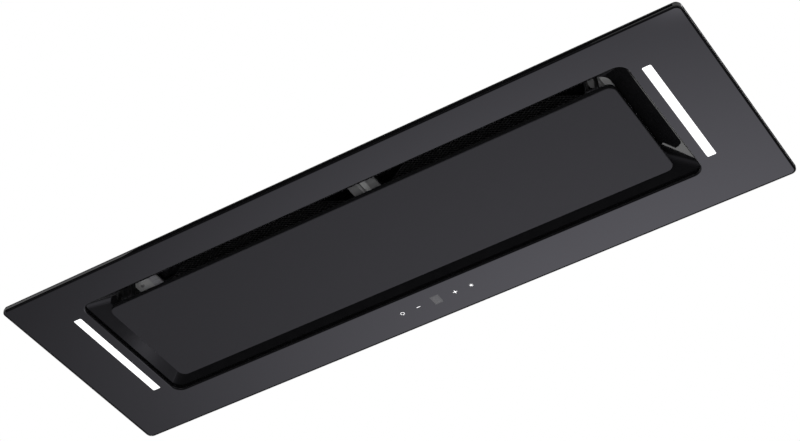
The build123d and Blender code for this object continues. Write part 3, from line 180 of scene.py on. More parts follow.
flag_cloth = cloth("flag_cloth", 0.0)
grey_cloth = cloth("grey_cloth", 0.28)
bright_card = cloth("bright_card", 4.0)
flag_reach = 4.1
low_z = -1.05
low_width = 8.4
low_height = 1.3
high_z = 2.3
high_width = 3.0
high_height = 5.4
flags = [
    stage_sheet("end_flag", (-1.2, -1.9, 2.05), (0, -1.9, 0), 1.8, 0.8, flag_cloth),
    stage_sheet("slope_card", (2.48, -2.62, -1.06), (0, 0, 0), 0.3, 0.5, bright_card),
]
for x, y in ((flag_reach, 0), (0, flag_reach), (-flag_reach, 0), (0, -flag_reach)):
    flags.append(stage_sheet("low_flag", (x, y, low_z), (0, 0, low_z), low_width, low_height, flag_cloth))
for x, y, aim_x, aim_y, material in (
    (flag_reach, -2.7, 0, -2.7, grey_cloth), (2.0, -flag_reach, 2.0, 0, grey_cloth),
    (2.3, flag_reach, 2.3, 0, flag_cloth), (-flag_reach, -2.8, 0, -2.8, flag_cloth),
):
    place = (x, y, high_z)
    flags.append(stage_sheet("high_flag", place, (aim_x, aim_y, high_z), high_width, high_height, material))
for flag in (*flags, reflector):
    flag.visible_camera = False
    flag.visible_diffuse = False
    flag.visible_transmission = False
    flag.visible_shadow = False

# Surround and lamps: the surround is white where the camera, gloss or glass sees it and a plain soft light on
# everything else. The top lamp is broad, and the small one below lifts what the gaps show.
surround_light = 0.55
surround = bpy.data.worlds.new("surround")
surround.use_nodes = True
bpy.context.scene.world = surround
tree = surround.node_tree
sky = tree.nodes["Background"]
sky.inputs["Color"].default_value = (1, 1, 1, 1)
path = tree.nodes.new("ShaderNodeLightPath")
seen = tree.nodes.new("ShaderNodeMath")
seen.operation = "MAXIMUM"
bright = tree.nodes.new("ShaderNodeMath")
bright.operation = "MAXIMUM"
strength = tree.nodes.new("ShaderNodeMapRange")
strength.inputs["To Min"].default_value = surround_light
strength.inputs["To Max"].default_value = 1.0
tree.links.new(path.outputs["Is Camera Ray"], seen.inputs[0])
tree.links.new(path.outputs["Is Glossy Ray"], seen.inputs[1])
tree.links.new(seen.outputs[0], bright.inputs[0])
tree.links.new(path.outputs["Is Transmission Ray"], bright.inputs[1])
tree.links.new(bright.outputs[0], strength.inputs["Value"])
tree.links.new(strength.outputs[0], sky.inputs["Strength"])


def lamp(name, place, aim, size, power):
    """A square soft lamp at a place, turned towards a point."""
    light = bpy.data.lights.new(name, "AREA")
    light.size = size
    light.energy = power
    stand = bpy.data.objects.new(name, light)
    stand.location = place
    stand.rotation_euler = (Vector(aim) - Vector(place)).to_track_quat("-Z", "Y").to_euler()
    bpy.context.scene.collection.objects.link(stand)
    return stand


lamp("top_lamp", (-1.6, -1.4, 2.6), (0, 0, 0.1), 2.0, 40.0)
fill_lamp = lamp("fill_lamp", (-0.75, 1.35, -1.5), (0.1, 0, 0.05), 0.5, 14.0)
fill_lamp.visible_glossy = False


# Fascia glass: one sheet of toughened float glass, 6 mm thick, with black ceramic ink fired on its back, so
# that it looks black right through. Its lower rims are pencil-rounded and polished. The sheet lies a hair
# inside its true size, which leaves room for the signs.
def effect(name, sockets, build):
    """A node group with number inputs that puts out a mask, made by a function of its tree and inputs."""
    group = bpy.data.node_groups.new(name, "ShaderNodeTree")
    for label, value in sockets.items():
        socket = group.interface.new_socket(label, in_out="INPUT", socket_type="NodeSocketFloat")
        socket.default_value = value
    group.interface.new_socket("Mask", in_out="OUTPUT", socket_type="NodeSocketFloat")
    enter = group.nodes.new("NodeGroupInput")
    leave = group.nodes.new("NodeGroupOutput")
    place = group.nodes.new("ShaderNodeTexCoord")
    group.links.new(build(group, enter.outputs, place.outputs["Object"]), leave.inputs["Mask"])
    return group


def spread(group, value, low, high):
    """Stretch a pattern's usual range to 0 and 1."""
    wide = group.nodes.new("ShaderNodeMapRange")
    wide.inputs["From Min"].default_value = low
    wide.inputs["From Max"].default_value = high
    group.links.new(value, wide.inputs["Value"])
    return wide.outputs[0]


def clouds(group, sockets, place):
    """Soft uneven patches."""
    noise = group.nodes.new("ShaderNodeTexNoise")
    noise.inputs["Detail"].default_value = 5
    group.links.new(place, noise.inputs["Vector"])
    group.links.new(sockets["Scale"], noise.inputs["Scale"])
    return spread(group, noise.outputs["Fac"], 0.3, 0.7)


mottle = effect("mottle", {"Scale": 300.0}, clouds)


def pattern(tree, group, **values):
    """Place a shared effect in a material and set its numbers."""
    node = tree.nodes.new("ShaderNodeGroup")
    node.node_tree = group
    for label, value in values.items():
        node.inputs[label].default_value = value
    return node.outputs["Mask"]


def surface(name, look, colours, roughness, grain=None, depth=0.0, **plain):
    """A material whose colour and roughness run between two values by one effect, with a bump by another."""
    material = bpy.data.materials.new(name)
    material.use_nodes = True
    tree = material.node_tree
    shader = tree.nodes["Principled BSDF"]
    for label, value in plain.items():
        shader.inputs[label.replace("_", " ")].default_value = value
    mask = pattern(tree, look[0], Scale=look[1])
    colour = tree.nodes.new("ShaderNodeMix")
    colour.data_type = "RGBA"
    colour.inputs["A"].default_value = (*colours[0], 1)
    colour.inputs["B"].default_value = (*colours[1], 1)
    tree.links.new(mask, colour.inputs["Factor"])
    tree.links.new(colour.outputs["Result"], shader.inputs["Base Color"])
    gloss = tree.nodes.new("ShaderNodeMapRange")
    gloss.inputs["To Min"].default_value, gloss.inputs["To Max"].default_value = roughness
    tree.links.new(mask, gloss.inputs["Value"])
    tree.links.new(gloss.outputs[0], shader.inputs["Roughness"])
    if grain:
        relief = tree.nodes.new("ShaderNodeBump")
        relief.inputs["Strength"].default_value = 1.0
        relief.inputs["Distance"].default_value = depth
        tree.links.new(pattern(tree, grain[0], Scale=grain[1]), relief.inputs["Height"])
        tree.links.new(relief.outputs[0], shader.inputs["Normal"])
    return material


def merged(node):
    """The shape of a CAD node with its loose triangles joined into whole faces."""
    shape = bmesh.new()
    shape.from_mesh(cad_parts[node].data)
    bmesh.ops.remove_doubles(shape, verts=shape.verts, dist=0.00001)
    bmesh.ops.dissolve_limit(shape, angle_limit=math.radians(0.5), verts=shape.verts, edges=shape.edges)
    return shape


def piece(name, shape, materials, body="hood", stands_for=(), crease=35.0):
    """A finished piece that rides on a body. Its broad faces stay flat and its curved ones are smooth."""
    for face in shape.faces:
        face.smooth = True
    for edge in shape.edges:
        edge.smooth = edge.calc_face_angle(0.0) < math.radians(crease)
    mesh = bpy.data.meshes.new(name)
    shape.to_mesh(mesh)
    shape.free()
    for material in materials if isinstance(materials, (list, tuple)) else [materials]:
        mesh.materials.append(material)
    thing = bpy.data.objects.new(name, mesh)
    bpy.context.scene.collection.objects.link(thing)
    normals = thing.modifiers.new("even_normals", "WEIGHTED_NORMAL")
    normals.keep_sharp = True
    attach(thing, body)
    if stands_for:
        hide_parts(*stands_for)
    return thing


float_glass = surface(
    "float_glass", (mottle, 9.0), ((0.0034, 0.0033, 0.0037), (0.0038, 0.0037, 0.0041)), (0.0, 0.012), IOR=1.5
)
black_ink = surface(
    "black_ink", (mottle, 260.0), ((0.0068, 0.0066, 0.0075), (0.0082, 0.0080, 0.0090)), (0.62, 0.72),
    Specular_IOR_Level=0.2,
)


def sunk(shape, depth):
    """A shape shrunk evenly to a depth inside itself."""
    bmesh.ops.recalc_face_normals(shape, faces=shape.faces)
    shape.normal_update()
    inwards = {vert: vert.normal * vert.calc_shell_factor() for vert in shape.verts}
    for vert, way in inwards.items():
        vert.co -= way * depth
    return shape


fascia = merged("fascia_glass")
half_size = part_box("fascia_glass")[1]
corner = 0.0080
rim_round = 0.0026
rim_width = 0.0050
sign_depth = 0.00006
slack = 0.0001
for vert in fascia.verts:
    past = Vector((abs(vert.co.x) - half_size.x + corner, abs(vert.co.y) - half_size.y + corner, 0))
    inner = min(max(past.x, past.y), 0.0)
    past = Vector((max(past.x, 0.0), max(past.y, 0.0), 0))
    inside = corner - past.length - inner
    if inside < rim_round + slack and vert.co.z < rim_round + slack / 2 and past.length > 0:
        out = Vector((math.copysign(past.x, vert.co.x), math.copysign(past.y, vert.co.y), 0)).normalized()
        vert.co -= out * inside * (rim_width / rim_round - 1) * max(out.x, -out.y, 0)
sunk(fascia, sign_depth)
for face in fascia.faces:
    if face.normal.z > 0.99:
        face.material_index = 1
piece("fascia_sheet", fascia, [float_glass, black_ink], stands_for=["fascia_glass"])


# Bond: a layer of black silicone adhesive between the glass and the steel, and another in the panel. It is
# spread evenly on the plate and pressed flat, so its rim has a soft sheen.
def dress(material, *names):
    """Give CAD nodes a material."""
    for name in names:
        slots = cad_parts[name].data.materials
        slots.clear()
        slots.append(material)


adhesive = surface(
    "adhesive", (mottle, 120.0), ((0.009, 0.009, 0.010), (0.016, 0.016, 0.017)), (0.45, 0.65),
    (mottle, 500.0), 0.00004,
)
dress(adhesive, "fascia_bond", "panel_adhesive")

# Frame: a steel plate that is laser-cut, powder-coated black and bonded behind the glass, where it carries
# everything else. The coat has a fine orange-peel texture.
powder_coat = surface(
    "powder_coat", (mottle, 900.0), ((0.008, 0.008, 0.009), (0.014, 0.014, 0.015)), (0.38, 0.52),
    (mottle, 700.0), 0.00003,
)
dress(powder_coat, "fascia_frame")

# Lamps: an opal acrylic diffuser in each slot of the glass, held by an extruded aluminium channel, with a
# strip of LEDs on a white board behind it. The lamps are lit.
opal_acrylic = surface(
    "opal_acrylic", (mottle, 40.0), ((0.80, 0.80, 0.79), (0.86, 0.86, 0.85)), (0.30, 0.40), (mottle, 800.0),
    0.00001, Emission_Color=(1, 1, 1, 1), Emission_Strength=0.95,
)


def lines(along):
    """Fine lines along an axis, as brushing, rolling or an extrusion die leaves."""
    def drawn(group, sockets, place):
        stretch = group.nodes.new("ShaderNodeMapping")
        stretch.inputs["Scale"].default_value = [1 if axis == along else 60 for axis in "XYZ"]
        noise = group.nodes.new("ShaderNodeTexNoise")
        noise.inputs["Detail"].default_value = 3
        group.links.new(place, stretch.inputs["Vector"])
        group.links.new(stretch.outputs[0], noise.inputs["Vector"])
        group.links.new(sockets["Scale"], noise.inputs["Scale"])
        return spread(group, noise.outputs["Fac"], 0.3, 0.7)

    return drawn


extruded = effect("extruded", {"Scale": 20.0}, lines("Y"))
channel_aluminium = surface(
    "channel_aluminium", (extruded, 30.0), ((0.62, 0.62, 0.63), (0.80, 0.80, 0.81)), (0.24, 0.38),
    (extruded, 60.0), 0.000008, Metallic=1.0,
)


def rows(group, sockets, place):
    """A grid of fine lines, as copper tracks show through a board's varnish."""
    grid = group.nodes.new("ShaderNodeTexBrick")
    grid.inputs["Color1"].default_value = (0, 0, 0, 1)
    grid.inputs["Color2"].default_value = (0.35, 0.35, 0.35, 1)
    grid.inputs["Mortar"].default_value = (1, 1, 1, 1)
    grid.inputs["Mortar Size"].default_value = 0.04
    group.links.new(place, grid.inputs["Vector"])
    group.links.new(sockets["Scale"], grid.inputs["Scale"])
    grey = group.nodes.new("ShaderNodeSeparateColor")
    group.links.new(grid.outputs["Color"], grey.inputs[0])
    return grey.outputs["Red"]


tracks = effect("tracks", {"Scale": 100.0}, rows)
white_varnish = surface(
    "white_varnish", (tracks, 120.0), ((0.80, 0.81, 0.79), (0.66, 0.67, 0.64)), (0.28, 0.40), (tracks, 120.0),
    0.00003,
)
led_phosphor = surface(
    "led_phosphor", (mottle, 900.0), ((0.80, 0.62, 0.12), (0.88, 0.72, 0.22)), (0.25, 0.35), (mottle, 900.0),
    0.00002,
)
led_sheet = 0.001
for side in ("left", "right"):
    piece(
        f"lit_diffuser_{side}", merged(f"lamp_diffuser_{side}"), opal_acrylic,
        stands_for=[f"lamp_diffuser_{side}"],
    )
    dress(channel_aluminium, f"lamp_channel_{side}")
    strip = merged(f"led_strip_{side}")
    board_low = max(vert.co.z for vert in strip.verts) - led_sheet
    for face in strip.faces:
        if face.calc_center_median().z < board_low - slack and face.normal.z < -0.5:
            face.material_index = 1
    piece(
        f"led_board_{side}", strip, [white_varnish, led_phosphor],
        stands_for=[f"led_strip_{side}"],
    )

# Touch control: a green board held in a moulded cover, with foam key pads and a display pressed to the glass.
# The signs are left clear in the print and light up from behind.
green_varnish = surface(
    "green_varnish", (tracks, 160.0), ((0.014, 0.085, 0.038), (0.035, 0.165, 0.075)), (0.22, 0.36),
    (tracks, 160.0), 0.00003,
)
dress(green_varnish, "touch_board")
moulded_black = surface(
    "moulded_black", (mottle, 700.0), ((0.015, 0.015, 0.016), (0.026, 0.026, 0.027)), (0.34, 0.50),
    (mottle, 1100.0), 0.00003,
)
dress(moulded_black, "touch_cover")


def bubbles(group, sockets, place):
    """Close round cells, as in foam."""
    cells = group.nodes.new("ShaderNodeTexVoronoi")
    group.links.new(place, cells.inputs["Vector"])
    group.links.new(sockets["Scale"], cells.inputs["Scale"])
    return spread(group, cells.outputs["Distance"], 0.1, 0.6)


pores = effect("pores", {"Scale": 1200.0}, bubbles)
closed_foam = surface(
    "closed_foam", (pores, 1400.0), ((0.014, 0.014, 0.014), (0.042, 0.042, 0.043)), (0.78, 0.95),
    (pores, 1400.0), 0.00012,
)
dress(closed_foam, "key_pads")
display_face = surface(
    "display_face", (mottle, 400.0), ((0.030, 0.030, 0.031), (0.040, 0.040, 0.041)), (0.15, 0.25)
)
dress(display_face, "display_module")

mark_z = sign_depth * 0.5
sign_step = sign_depth * 0.3
mark_line = 0.0008
thin_line = mark_line * 0.8
key_inner = 0.0255
key_outer = 0.0476
ring_radius = 0.0023
tick_length = 0.0022
tick_drop = 0.0021
minus_length = 0.0050
plus_length = 0.0054
lamp_disc = 0.0013
window_length = 0.0112
window_width = 0.0146
digit_width = 0.0042
digit_height = 0.0092
segment_side = 0.0027
segment_length = 0.0036


def bar(shape, x, y, length, width, turn=0.0):
    """A straight stroke of a sign, turned about its middle."""
    made = bmesh.ops.create_grid(shape, x_segments=1, y_segments=1, size=0.5)
    bmesh.ops.scale(shape, verts=made["verts"], vec=(length, width, 1))
    bmesh.ops.rotate(shape, verts=made["verts"], cent=(0, 0, 0), matrix=Matrix.Rotation(turn, 3, "Z"))
    bmesh.ops.translate(shape, verts=made["verts"], vec=(x, y, mark_z))


def arc(shape, x, y, radius, line, start, sweep):
    """A curved stroke of a sign about its middle."""
    inner = shape.verts.new((radius - line / 2, 0, mark_z))
    outer = shape.verts.new((radius + line / 2, 0, mark_z))
    ends = [inner, outer, shape.edges.new((inner, outer))]
    bmesh.ops.rotate(shape, verts=ends[:2], cent=(0, 0, 0), matrix=Matrix.Rotation(start, 3, "Z"))
    bmesh.ops.translate(shape, verts=ends[:2], vec=(x, y, 0))
    bmesh.ops.spin(shape, geom=ends, cent=(x, y, 0), axis=(0, 0, 1), angle=sweep, steps=24, use_merge=False)


touch_y = sum(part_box("touch_cover"), Vector()).y / 2
signs = bmesh.new()
arc(signs, key_outer, touch_y, ring_radius, thin_line, math.radians(-60), math.radians(300))
bar(signs, key_outer, touch_y - tick_drop, thin_line, tick_length)
bar(signs, key_inner, touch_y, minus_length, mark_line)
bar(signs, -key_inner, touch_y, plus_length, mark_line)
bar(signs, -key_inner, touch_y, mark_line, plus_length)
for ray in range(4):
    bar(signs, -key_outer, touch_y, plus_length, mark_line * 0.4, math.radians(45 * ray))
disc = bmesh.ops.create_circle(signs, cap_ends=True, segments=20, radius=lamp_disc)
bmesh.ops.translate(signs, verts=disc["verts"], vec=(-key_outer, touch_y, mark_z - sign_step))
for face in signs.faces:
    if face.normal.z > 0:
        face.normal_flip()
sign_light = surface(
    "sign_light", (mottle, 200.0), ((0.80, 0.80, 0.80), (0.86, 0.86, 0.86)), (0.4, 0.5),
    Emission_Color=(1, 1, 1, 1), Emission_Strength=0.9,
)
piece("touch_signs", signs, sign_light)
window = bmesh.new()
bar(window, 0.0, touch_y, window_length, window_width)
digit = bmesh.new()
for row in (-1, 0, 1):
    bar(digit, 0, touch_y + row * digit_height / 2, digit_width, mark_line)
for column in (-1, 1):
    for row in (-1, 1):
        bar(digit, column * segment_side, touch_y + row * digit_height / 4, mark_line, segment_length)
bmesh.ops.translate(digit, verts=digit.verts, vec=(0, 0, -sign_step))
for shape in (window, digit):
    bmesh.ops.reverse_faces(shape, faces=shape.faces)
smoked_window = surface(
    "smoked_window", (mottle, 300.0), ((0.13, 0.13, 0.132), (0.15, 0.15, 0.152)), (0.4, 0.5)
)
unlit_segment = surface(
    "unlit_segment", (mottle, 300.0), ((0.19, 0.19, 0.192), (0.21, 0.21, 0.212)), (0.4, 0.5)
)
piece("display_window", window, smoked_window)
piece("display_segments", digit, unlit_segment)

# Seal: a strip of closed-cell foam that is stuck all round on the steel frame. The cabinet's underside
# squeezes it, so that no air is drawn in past the hood.
dress(closed_foam, "cabinet_seal")

# Funnel: deep-drawn steel sheet in glossy black enamel, which leads the air from the cut-out up to the
# filters. Its rear slope is coloured lighter and greyer, a painted sheen of the light that falls there.
enamel = surface(
    "enamel", (mottle, 60.0), ((0.0055, 0.0055, 0.006), (0.007, 0.007, 0.0075)), (0.03, 0.06),
    (mottle, 140.0), 0.000004, Specular_IOR_Level=0.12,
)
# Lighter, glossier enamel for the rear slope: a painted sheen where light falls on it.
painted_sheen_enamel = surface(
    "painted_sheen_enamel", (mottle, 60.0), ((0.024, 0.024, 0.026), (0.030, 0.030, 0.032)), (0.08, 0.14),
    (mottle, 140.0), 0.000004, Specular_IOR_Level=0.3,
)
slope_facing = -0.3
funnel = merged("intake_funnel")
# The faces that look rearwards and down take the painted sheen.
for face in funnel.faces:
    if face.normal.y < slope_facing and face.normal.z < slope_facing:
        face.material_index = 1
piece(
    "drawn_funnel", funnel, [enamel, painted_sheen_enamel], stands_for=["intake_funnel"], crease=20.0
)

# Deck: zinc-plated and passivated sheet with one opening for each filter. Its edges are folded, and it is
# screwed under the body box.
brushed = effect("brushed", {"Scale": 20.0}, lines("X"))
# This zinc is coloured far lighter and less metallic than the other zinc parts: a painted highlight for the
# light the deck catches through the gaps.
deck_zinc_highlight = surface(
    "deck_zinc_highlight", (mottle, 60.0), ((0.82, 0.83, 0.83), (0.92, 0.92, 0.92)), (0.36, 0.50),
    (brushed, 30.0), 0.00001, Metallic=0.1,
)
dress(deck_zinc_highlight, "filter_deck")


# Grease filters: a rolled aluminium channel round a pack of expanded aluminium mesh, with pressed pockets.
# Each hooks over the deck at the rear and is held at the front by a sprung black slide. The lowest layer of
# the mesh shows under the pockets' webs.
def folds(shape, angle=50.0, area=0.0, outer=True, inner=True):
    """The edges, outer or inner, that turn by more than an angle between faces above an area."""
    found = []
    for edge in shape.edges:
        turn = math.degrees(edge.calc_face_angle_signed(0.0))
        if abs(turn) < angle or min(face.calc_area() for face in edge.link_faces) < area:
            continue
        if (turn > 0 and outer) or (turn < 0 and inner):
            found.append(edge)
    return found


def rounded(shape, edges, radius, segments=2):
    """Round edges to a radius, or to less where they lie close together."""
    bmesh.ops.bevel(
        shape, geom=edges, offset=radius, offset_type="OFFSET", affect="EDGES", segments=segments,
        profile=0.5, material=-1, clamp_overlap=True,
    )
    return shape


filter_aluminium = surface(
    "filter_aluminium", (brushed, 24.0), ((0.70, 0.70, 0.71), (0.84, 0.84, 0.85)), (0.26, 0.42),
    (brushed, 50.0), 0.00001, Metallic=0.6,
)
# The pack's mesh is coloured far darker than bare aluminium: painted shade for its deep layers.
shaded_pack_aluminium = surface(
    "shaded_pack_aluminium", (pores, 420.0), ((0.03, 0.03, 0.031), (0.16, 0.16, 0.165)), (0.30, 0.50),
    (pores, 420.0), 0.0008, Metallic=1.0,
)
strand_aluminium = surface(
    "strand_aluminium", (mottle, 300.0), ((0.26, 0.26, 0.265), (0.40, 0.40, 0.405)), (0.28, 0.42),
    Metallic=0.9,
)
zinc = surface(
    "zinc", (mottle, 40.0), ((0.60, 0.61, 0.61), (0.72, 0.72, 0.72)), (0.30, 0.45),
    (brushed, 30.0), 0.00001, Metallic=0.6,
)
small_bevel = 0.0004
filter_rail = 0.0115
diamond_length = 0.0070
diamond_width = 0.0040
strand = 0.0007
latch_block_side = 0.010
latch_block_rear = 0.011
for side in ("left", "right"):
    dress(filter_aluminium, f"filter_frame_{side}")
    dress(shaded_pack_aluminium, f"filter_mesh_{side}")
    dress(zinc, f"latch_spring_{side}")
    slide = merged(f"filter_latch_{side}")
    piece(
        f"latch_slide_piece_{side}", rounded(slide, folds(slide, inner=False), small_bevel), moulded_black,
        body=f"latch_{side}", stands_for=[f"filter_latch_{side}"],
    )
    pack_low, pack_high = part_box(f"filter_mesh_{side}")
    latch_low, latch_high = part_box(f"filter_latch_{side}")
    middle = (pack_low + pack_high) / 2
    half_x = (pack_high.x - pack_low.x) / 2 - filter_rail
    half_y = (pack_high.y - pack_low.y) / 2 - filter_rail
    span = 2 * (half_x / diamond_length + half_y / diamond_width)
    sheet = bmesh.new()
    cells = int(span / math.sqrt(2)) + 2
    bmesh.ops.create_grid(sheet, x_segments=cells, y_segments=cells, size=cells / 2)
    turn = Matrix.Rotation(math.radians(45), 3, "Z")
    bmesh.ops.rotate(sheet, verts=sheet.verts, cent=(0, 0, 0), matrix=turn)
    bmesh.ops.scale(
        sheet, verts=sheet.verts, vec=(diamond_length / math.sqrt(2), diamond_width / math.sqrt(2), 1)
    )
    bmesh.ops.translate(sheet, verts=sheet.verts, vec=(middle.x, middle.y, pack_low.z - strand))
    for normal, limit in (
        ((1, 0, 0), middle.x + half_x), ((-1, 0, 0), middle.x - half_x),
        ((0, 1, 0), middle.y + half_y), ((0, -1, 0), middle.y - half_y),
    ):
        at = (limit, limit, 0)
        bmesh.ops.bisect_plane(
            sheet, geom=sheet.verts[:] + sheet.edges[:] + sheet.faces[:], plane_co=at, plane_no=normal,
            clear_outer=True,
        )
    latch_half = (latch_high.x - latch_low.x) / 2 + latch_block_side
    block_rear = latch_high.y + latch_block_rear
    gone = [
        face for face in sheet.faces
        if abs(face.calc_center_median().x - (latch_low.x + latch_high.x) / 2) < latch_half
        and face.calc_center_median().y < block_rear
    ]
    bmesh.ops.delete(sheet, geom=gone, context="FACES")
    bmesh.ops.wireframe(
        sheet, faces=sheet.faces, thickness=strand, use_replace=True, use_boundary=True, use_even_offset=True
    )
    piece(f"expanded_mesh_{side}", sheet, strand_aluminium, crease=180.0)

# Suction panel: satin glass printed black, stuck to a steel tray that four folded angles stiffen. It hangs on
# hinges at the rear, is pulled shut by the catches, and turns down for cleaning the filters.
satin_glass = surface(
    "satin_glass", (mottle, 500.0), ((0.026, 0.0256, 0.0284), (0.028, 0.0276, 0.0304)), (0.12, 0.16),
    (mottle, 900.0), 0.000004, Specular_IOR_Level=0.12,
)
ground_edge = surface(
    "ground_edge", (mottle, 500.0), ((0.006, 0.006, 0.0065), (0.009, 0.009, 0.0095)), (0.10, 0.18),
    (mottle, 900.0), 0.000004,
)
bend_radius = 0.0016
angle_area = 0.0006
panel_sheet = merged("panel_glass")
for face in panel_sheet.faces:
    if face.normal.z > -0.5:
        face.material_index = 1
piece(
    "panel_sheet", panel_sheet, [satin_glass, ground_edge], body="panel",
    stands_for=["panel_glass"],
)
dress(powder_coat, "panel_tray")
angles = merged("panel_stiffeners")
rounded(angles, folds(angles, area=angle_area, inner=False), bend_radius, 3)
piece("panel_angles", angles, powder_coat, body="panel", stands_for=["panel_stiffeners"])

# Hinges: an arm on the tray turns on a dull steel pin between the two ears of a bracket, which is fixed on
# the funnel's collar. Arm and bracket are bent from steel sheet and powder-coated.
pin_steel = surface(
    "pin_steel", (mottle, 300.0), ((0.10, 0.10, 0.105), (0.16, 0.16, 0.165)), (0.35, 0.50), Metallic=0.9
)
for side in ("left", "right"):
    piece(
        f"hinge_leaf_{side}", merged(f"hinge_arm_{side}"), powder_coat, body="panel",
        stands_for=[f"hinge_arm_{side}"],
    )
    piece(
        f"hinge_ears_{side}", merged(f"hinge_bracket_{side}"), powder_coat,
        stands_for=[f"hinge_bracket_{side}"],
    )
    piece(
        f"hinge_rod_{side}", merged(f"hinge_pin_{side}"), pin_steel,
        stands_for=[f"hinge_pin_{side}"],
    )

# Catches: two nickel-plated magnets in moulded holders on the collar's front wall. They pull on the panel's
# steel tray and hold it shut.
moulded_bevel = 0.0006
holders = merged("catch_holders")
piece(
    "magnet_holders", rounded(holders, folds(holders, inner=False), moulded_bevel), moulded_black,
    stands_for=["catch_holders"],
)
nickel = surface(
    "nickel", (mottle, 200.0), ((0.58, 0.57, 0.54), (0.70, 0.69, 0.66)), (0.12, 0.24),
    (mottle, 600.0), 0.000006, Metallic=1.0,
)
dress(nickel, "catch_magnets")


# Body box: galvanised steel sheet, folded as a press brake leaves it, spot-welded at both ends and screwed
# down on the frame. It carries the deck below and the blower above.
def crystals(group, sockets, place):
    """Large zinc crystals with fine patches between them."""
    cells = group.nodes.new("ShaderNodeTexVoronoi")
    cells.feature = "F1"
    group.links.new(place, cells.inputs["Vector"])
    group.links.new(sockets["Scale"], cells.inputs["Scale"])
    grey = group.nodes.new("ShaderNodeSeparateColor")
    group.links.new(cells.outputs["Color"], grey.inputs[0])
    fine = group.nodes.new("ShaderNodeTexNoise")
    fine.inputs["Detail"].default_value = 4
    group.links.new(place, fine.inputs["Vector"])
    group.links.new(sockets["Scale"], fine.inputs["Scale"])
    both = group.nodes.new("ShaderNodeMix")
    both.inputs["Factor"].default_value = 0.45
    group.links.new(grey.outputs["Red"], both.inputs["A"])
    group.links.new(spread(group, fine.outputs["Fac"], 0.3, 0.7), both.inputs["B"])
    return both.outputs["Result"]


spangle = effect("spangle", {"Scale": 90.0}, crystals)
galvanised = surface(
    "galvanised", (spangle, 95.0), ((0.46, 0.47, 0.48), (0.58, 0.59, 0.60)), (0.34, 0.46),
    (mottle, 300.0), 0.000004, Metallic=0.85,
)
weld_tint = surface(
    "weld_tint", (mottle, 500.0), ((0.22, 0.215, 0.21), (0.36, 0.355, 0.35)), (0.35, 0.5),
    (mottle, 900.0), 0.00001, Metallic=0.85,
)
wall_area = 0.0012
inner_share = 0.4
weld_radius = 0.0029
weld_top = 0.0023
weld_height = 0.0001
weld_rim = 0.0005
weld_dent = 0.00007


def folded(name, node):
    """Folded sheet: its outer and inner corners are rounded as a press brake leaves them."""
    shape = merged(node)
    rounded(shape, folds(shape, area=wall_area, inner=False), bend_radius, 3)
    rounded(shape, folds(shape, area=wall_area, outer=False), bend_radius * inner_share, 2)
    return piece(name, shape, galvanised, stands_for=[node])


def weld_marks(name, places, x):
    """Spot welds as shallow round dents with a raised rim, on both end walls of a box."""
    marks = bmesh.new()
    for side in (1, -1):
        turn = Matrix.Rotation(math.radians(90 * side), 4, "Y")
        for y, z in places:
            at = Matrix.Translation((side * (x + weld_height / 2), y, z)) @ turn
            bmesh.ops.create_cone(
                marks, cap_ends=True, segments=20, radius1=weld_radius, radius2=weld_top, depth=weld_height,
                matrix=at,
            )
    tops = [face for face in marks.faces if len(face.verts) == 20 and face.normal.x * face.verts[0].co.x > 0]
    bmesh.ops.inset_region(marks, faces=tops, thickness=weld_rim, depth=-weld_dent)
    return piece(name, marks, weld_tint)


folded("folded_body", "body_box")
body_end = 0.415
weld_marks("body_welds", [(y, z) for y in (-0.127, 0.089) for z in (0.018, 0.0365, 0.055)], body_end)

# Blower: a galvanised scroll and its two coned cheeks round a moulded wheel with forward-curved blades. The
# motor hangs on rubber bushes at the right inlet, and a sintered bearing carries the shaft at the left one.
for node in ("scroll_wrap", "scroll_cheek_left", "scroll_cheek_right", "motor_carrier", "bearing_carrier"):
    piece(f"{node}_sheet", merged(node), galvanised, stands_for=[node])
moulded_grey = surface(
    "moulded_grey", (mottle, 700.0), ((0.16, 0.16, 0.165), (0.21, 0.21, 0.215)), (0.38, 0.52),
    (mottle, 1100.0), 0.00003,
)
piece("wheel", merged("impeller"), moulded_grey, body="blower_wheel", stands_for=["impeller"])
piece(
    "wheel_shaft", merged("impeller_shaft"), zinc, body="blower_wheel",
    stands_for=["impeller_shaft"],
)
bronze = surface(
    "bronze", (mottle, 500.0), ((0.40, 0.28, 0.13), (0.58, 0.43, 0.21)), (0.34, 0.52),
    (pores, 1500.0), 0.00003, Metallic=1.0,
)
piece("sleeve_bearing", merged("end_bearing"), bronze, stands_for=["end_bearing"])
soft_rubber = surface(
    "soft_rubber", (mottle, 500.0), ((0.012, 0.012, 0.012), (0.022, 0.022, 0.022)), (0.55, 0.75),
    (mottle, 900.0), 0.00003,
)
piece("rubber_bushes", merged("motor_bushes"), soft_rubber, stands_for=["motor_bushes"])
piece("motor_can", merged("motor_housing"), powder_coat, stands_for=["motor_housing"])
can_plastic = surface(
    "can_plastic", (mottle, 300.0), ((0.74, 0.74, 0.72), (0.84, 0.84, 0.82)), (0.22, 0.34),
    (mottle, 700.0), 0.00001,
)
piece("capacitor_can", merged("capacitor"), can_plastic, stands_for=["capacitor"])
piece("capacitor_band", merged("capacitor_clip"), zinc, stands_for=["capacitor_clip"])

# Blower cover: galvanised sheet folded to a hood with a sloping rear wall and welded at both ends. Its
# flanges are screwed down on the body box.
folded("folded_cover", "blower_cover")
cover_end = 0.312
weld_rise = 0.026
weld_run = 0.0226
cover_welds = [(-0.122, 0.080 + weld_rise * step) for step in range(5)]
cover_welds += [(0.069 - weld_run * step, 0.078 + weld_rise * step) for step in range(5)]
weld_marks("cover_welds", cover_welds, cover_end)

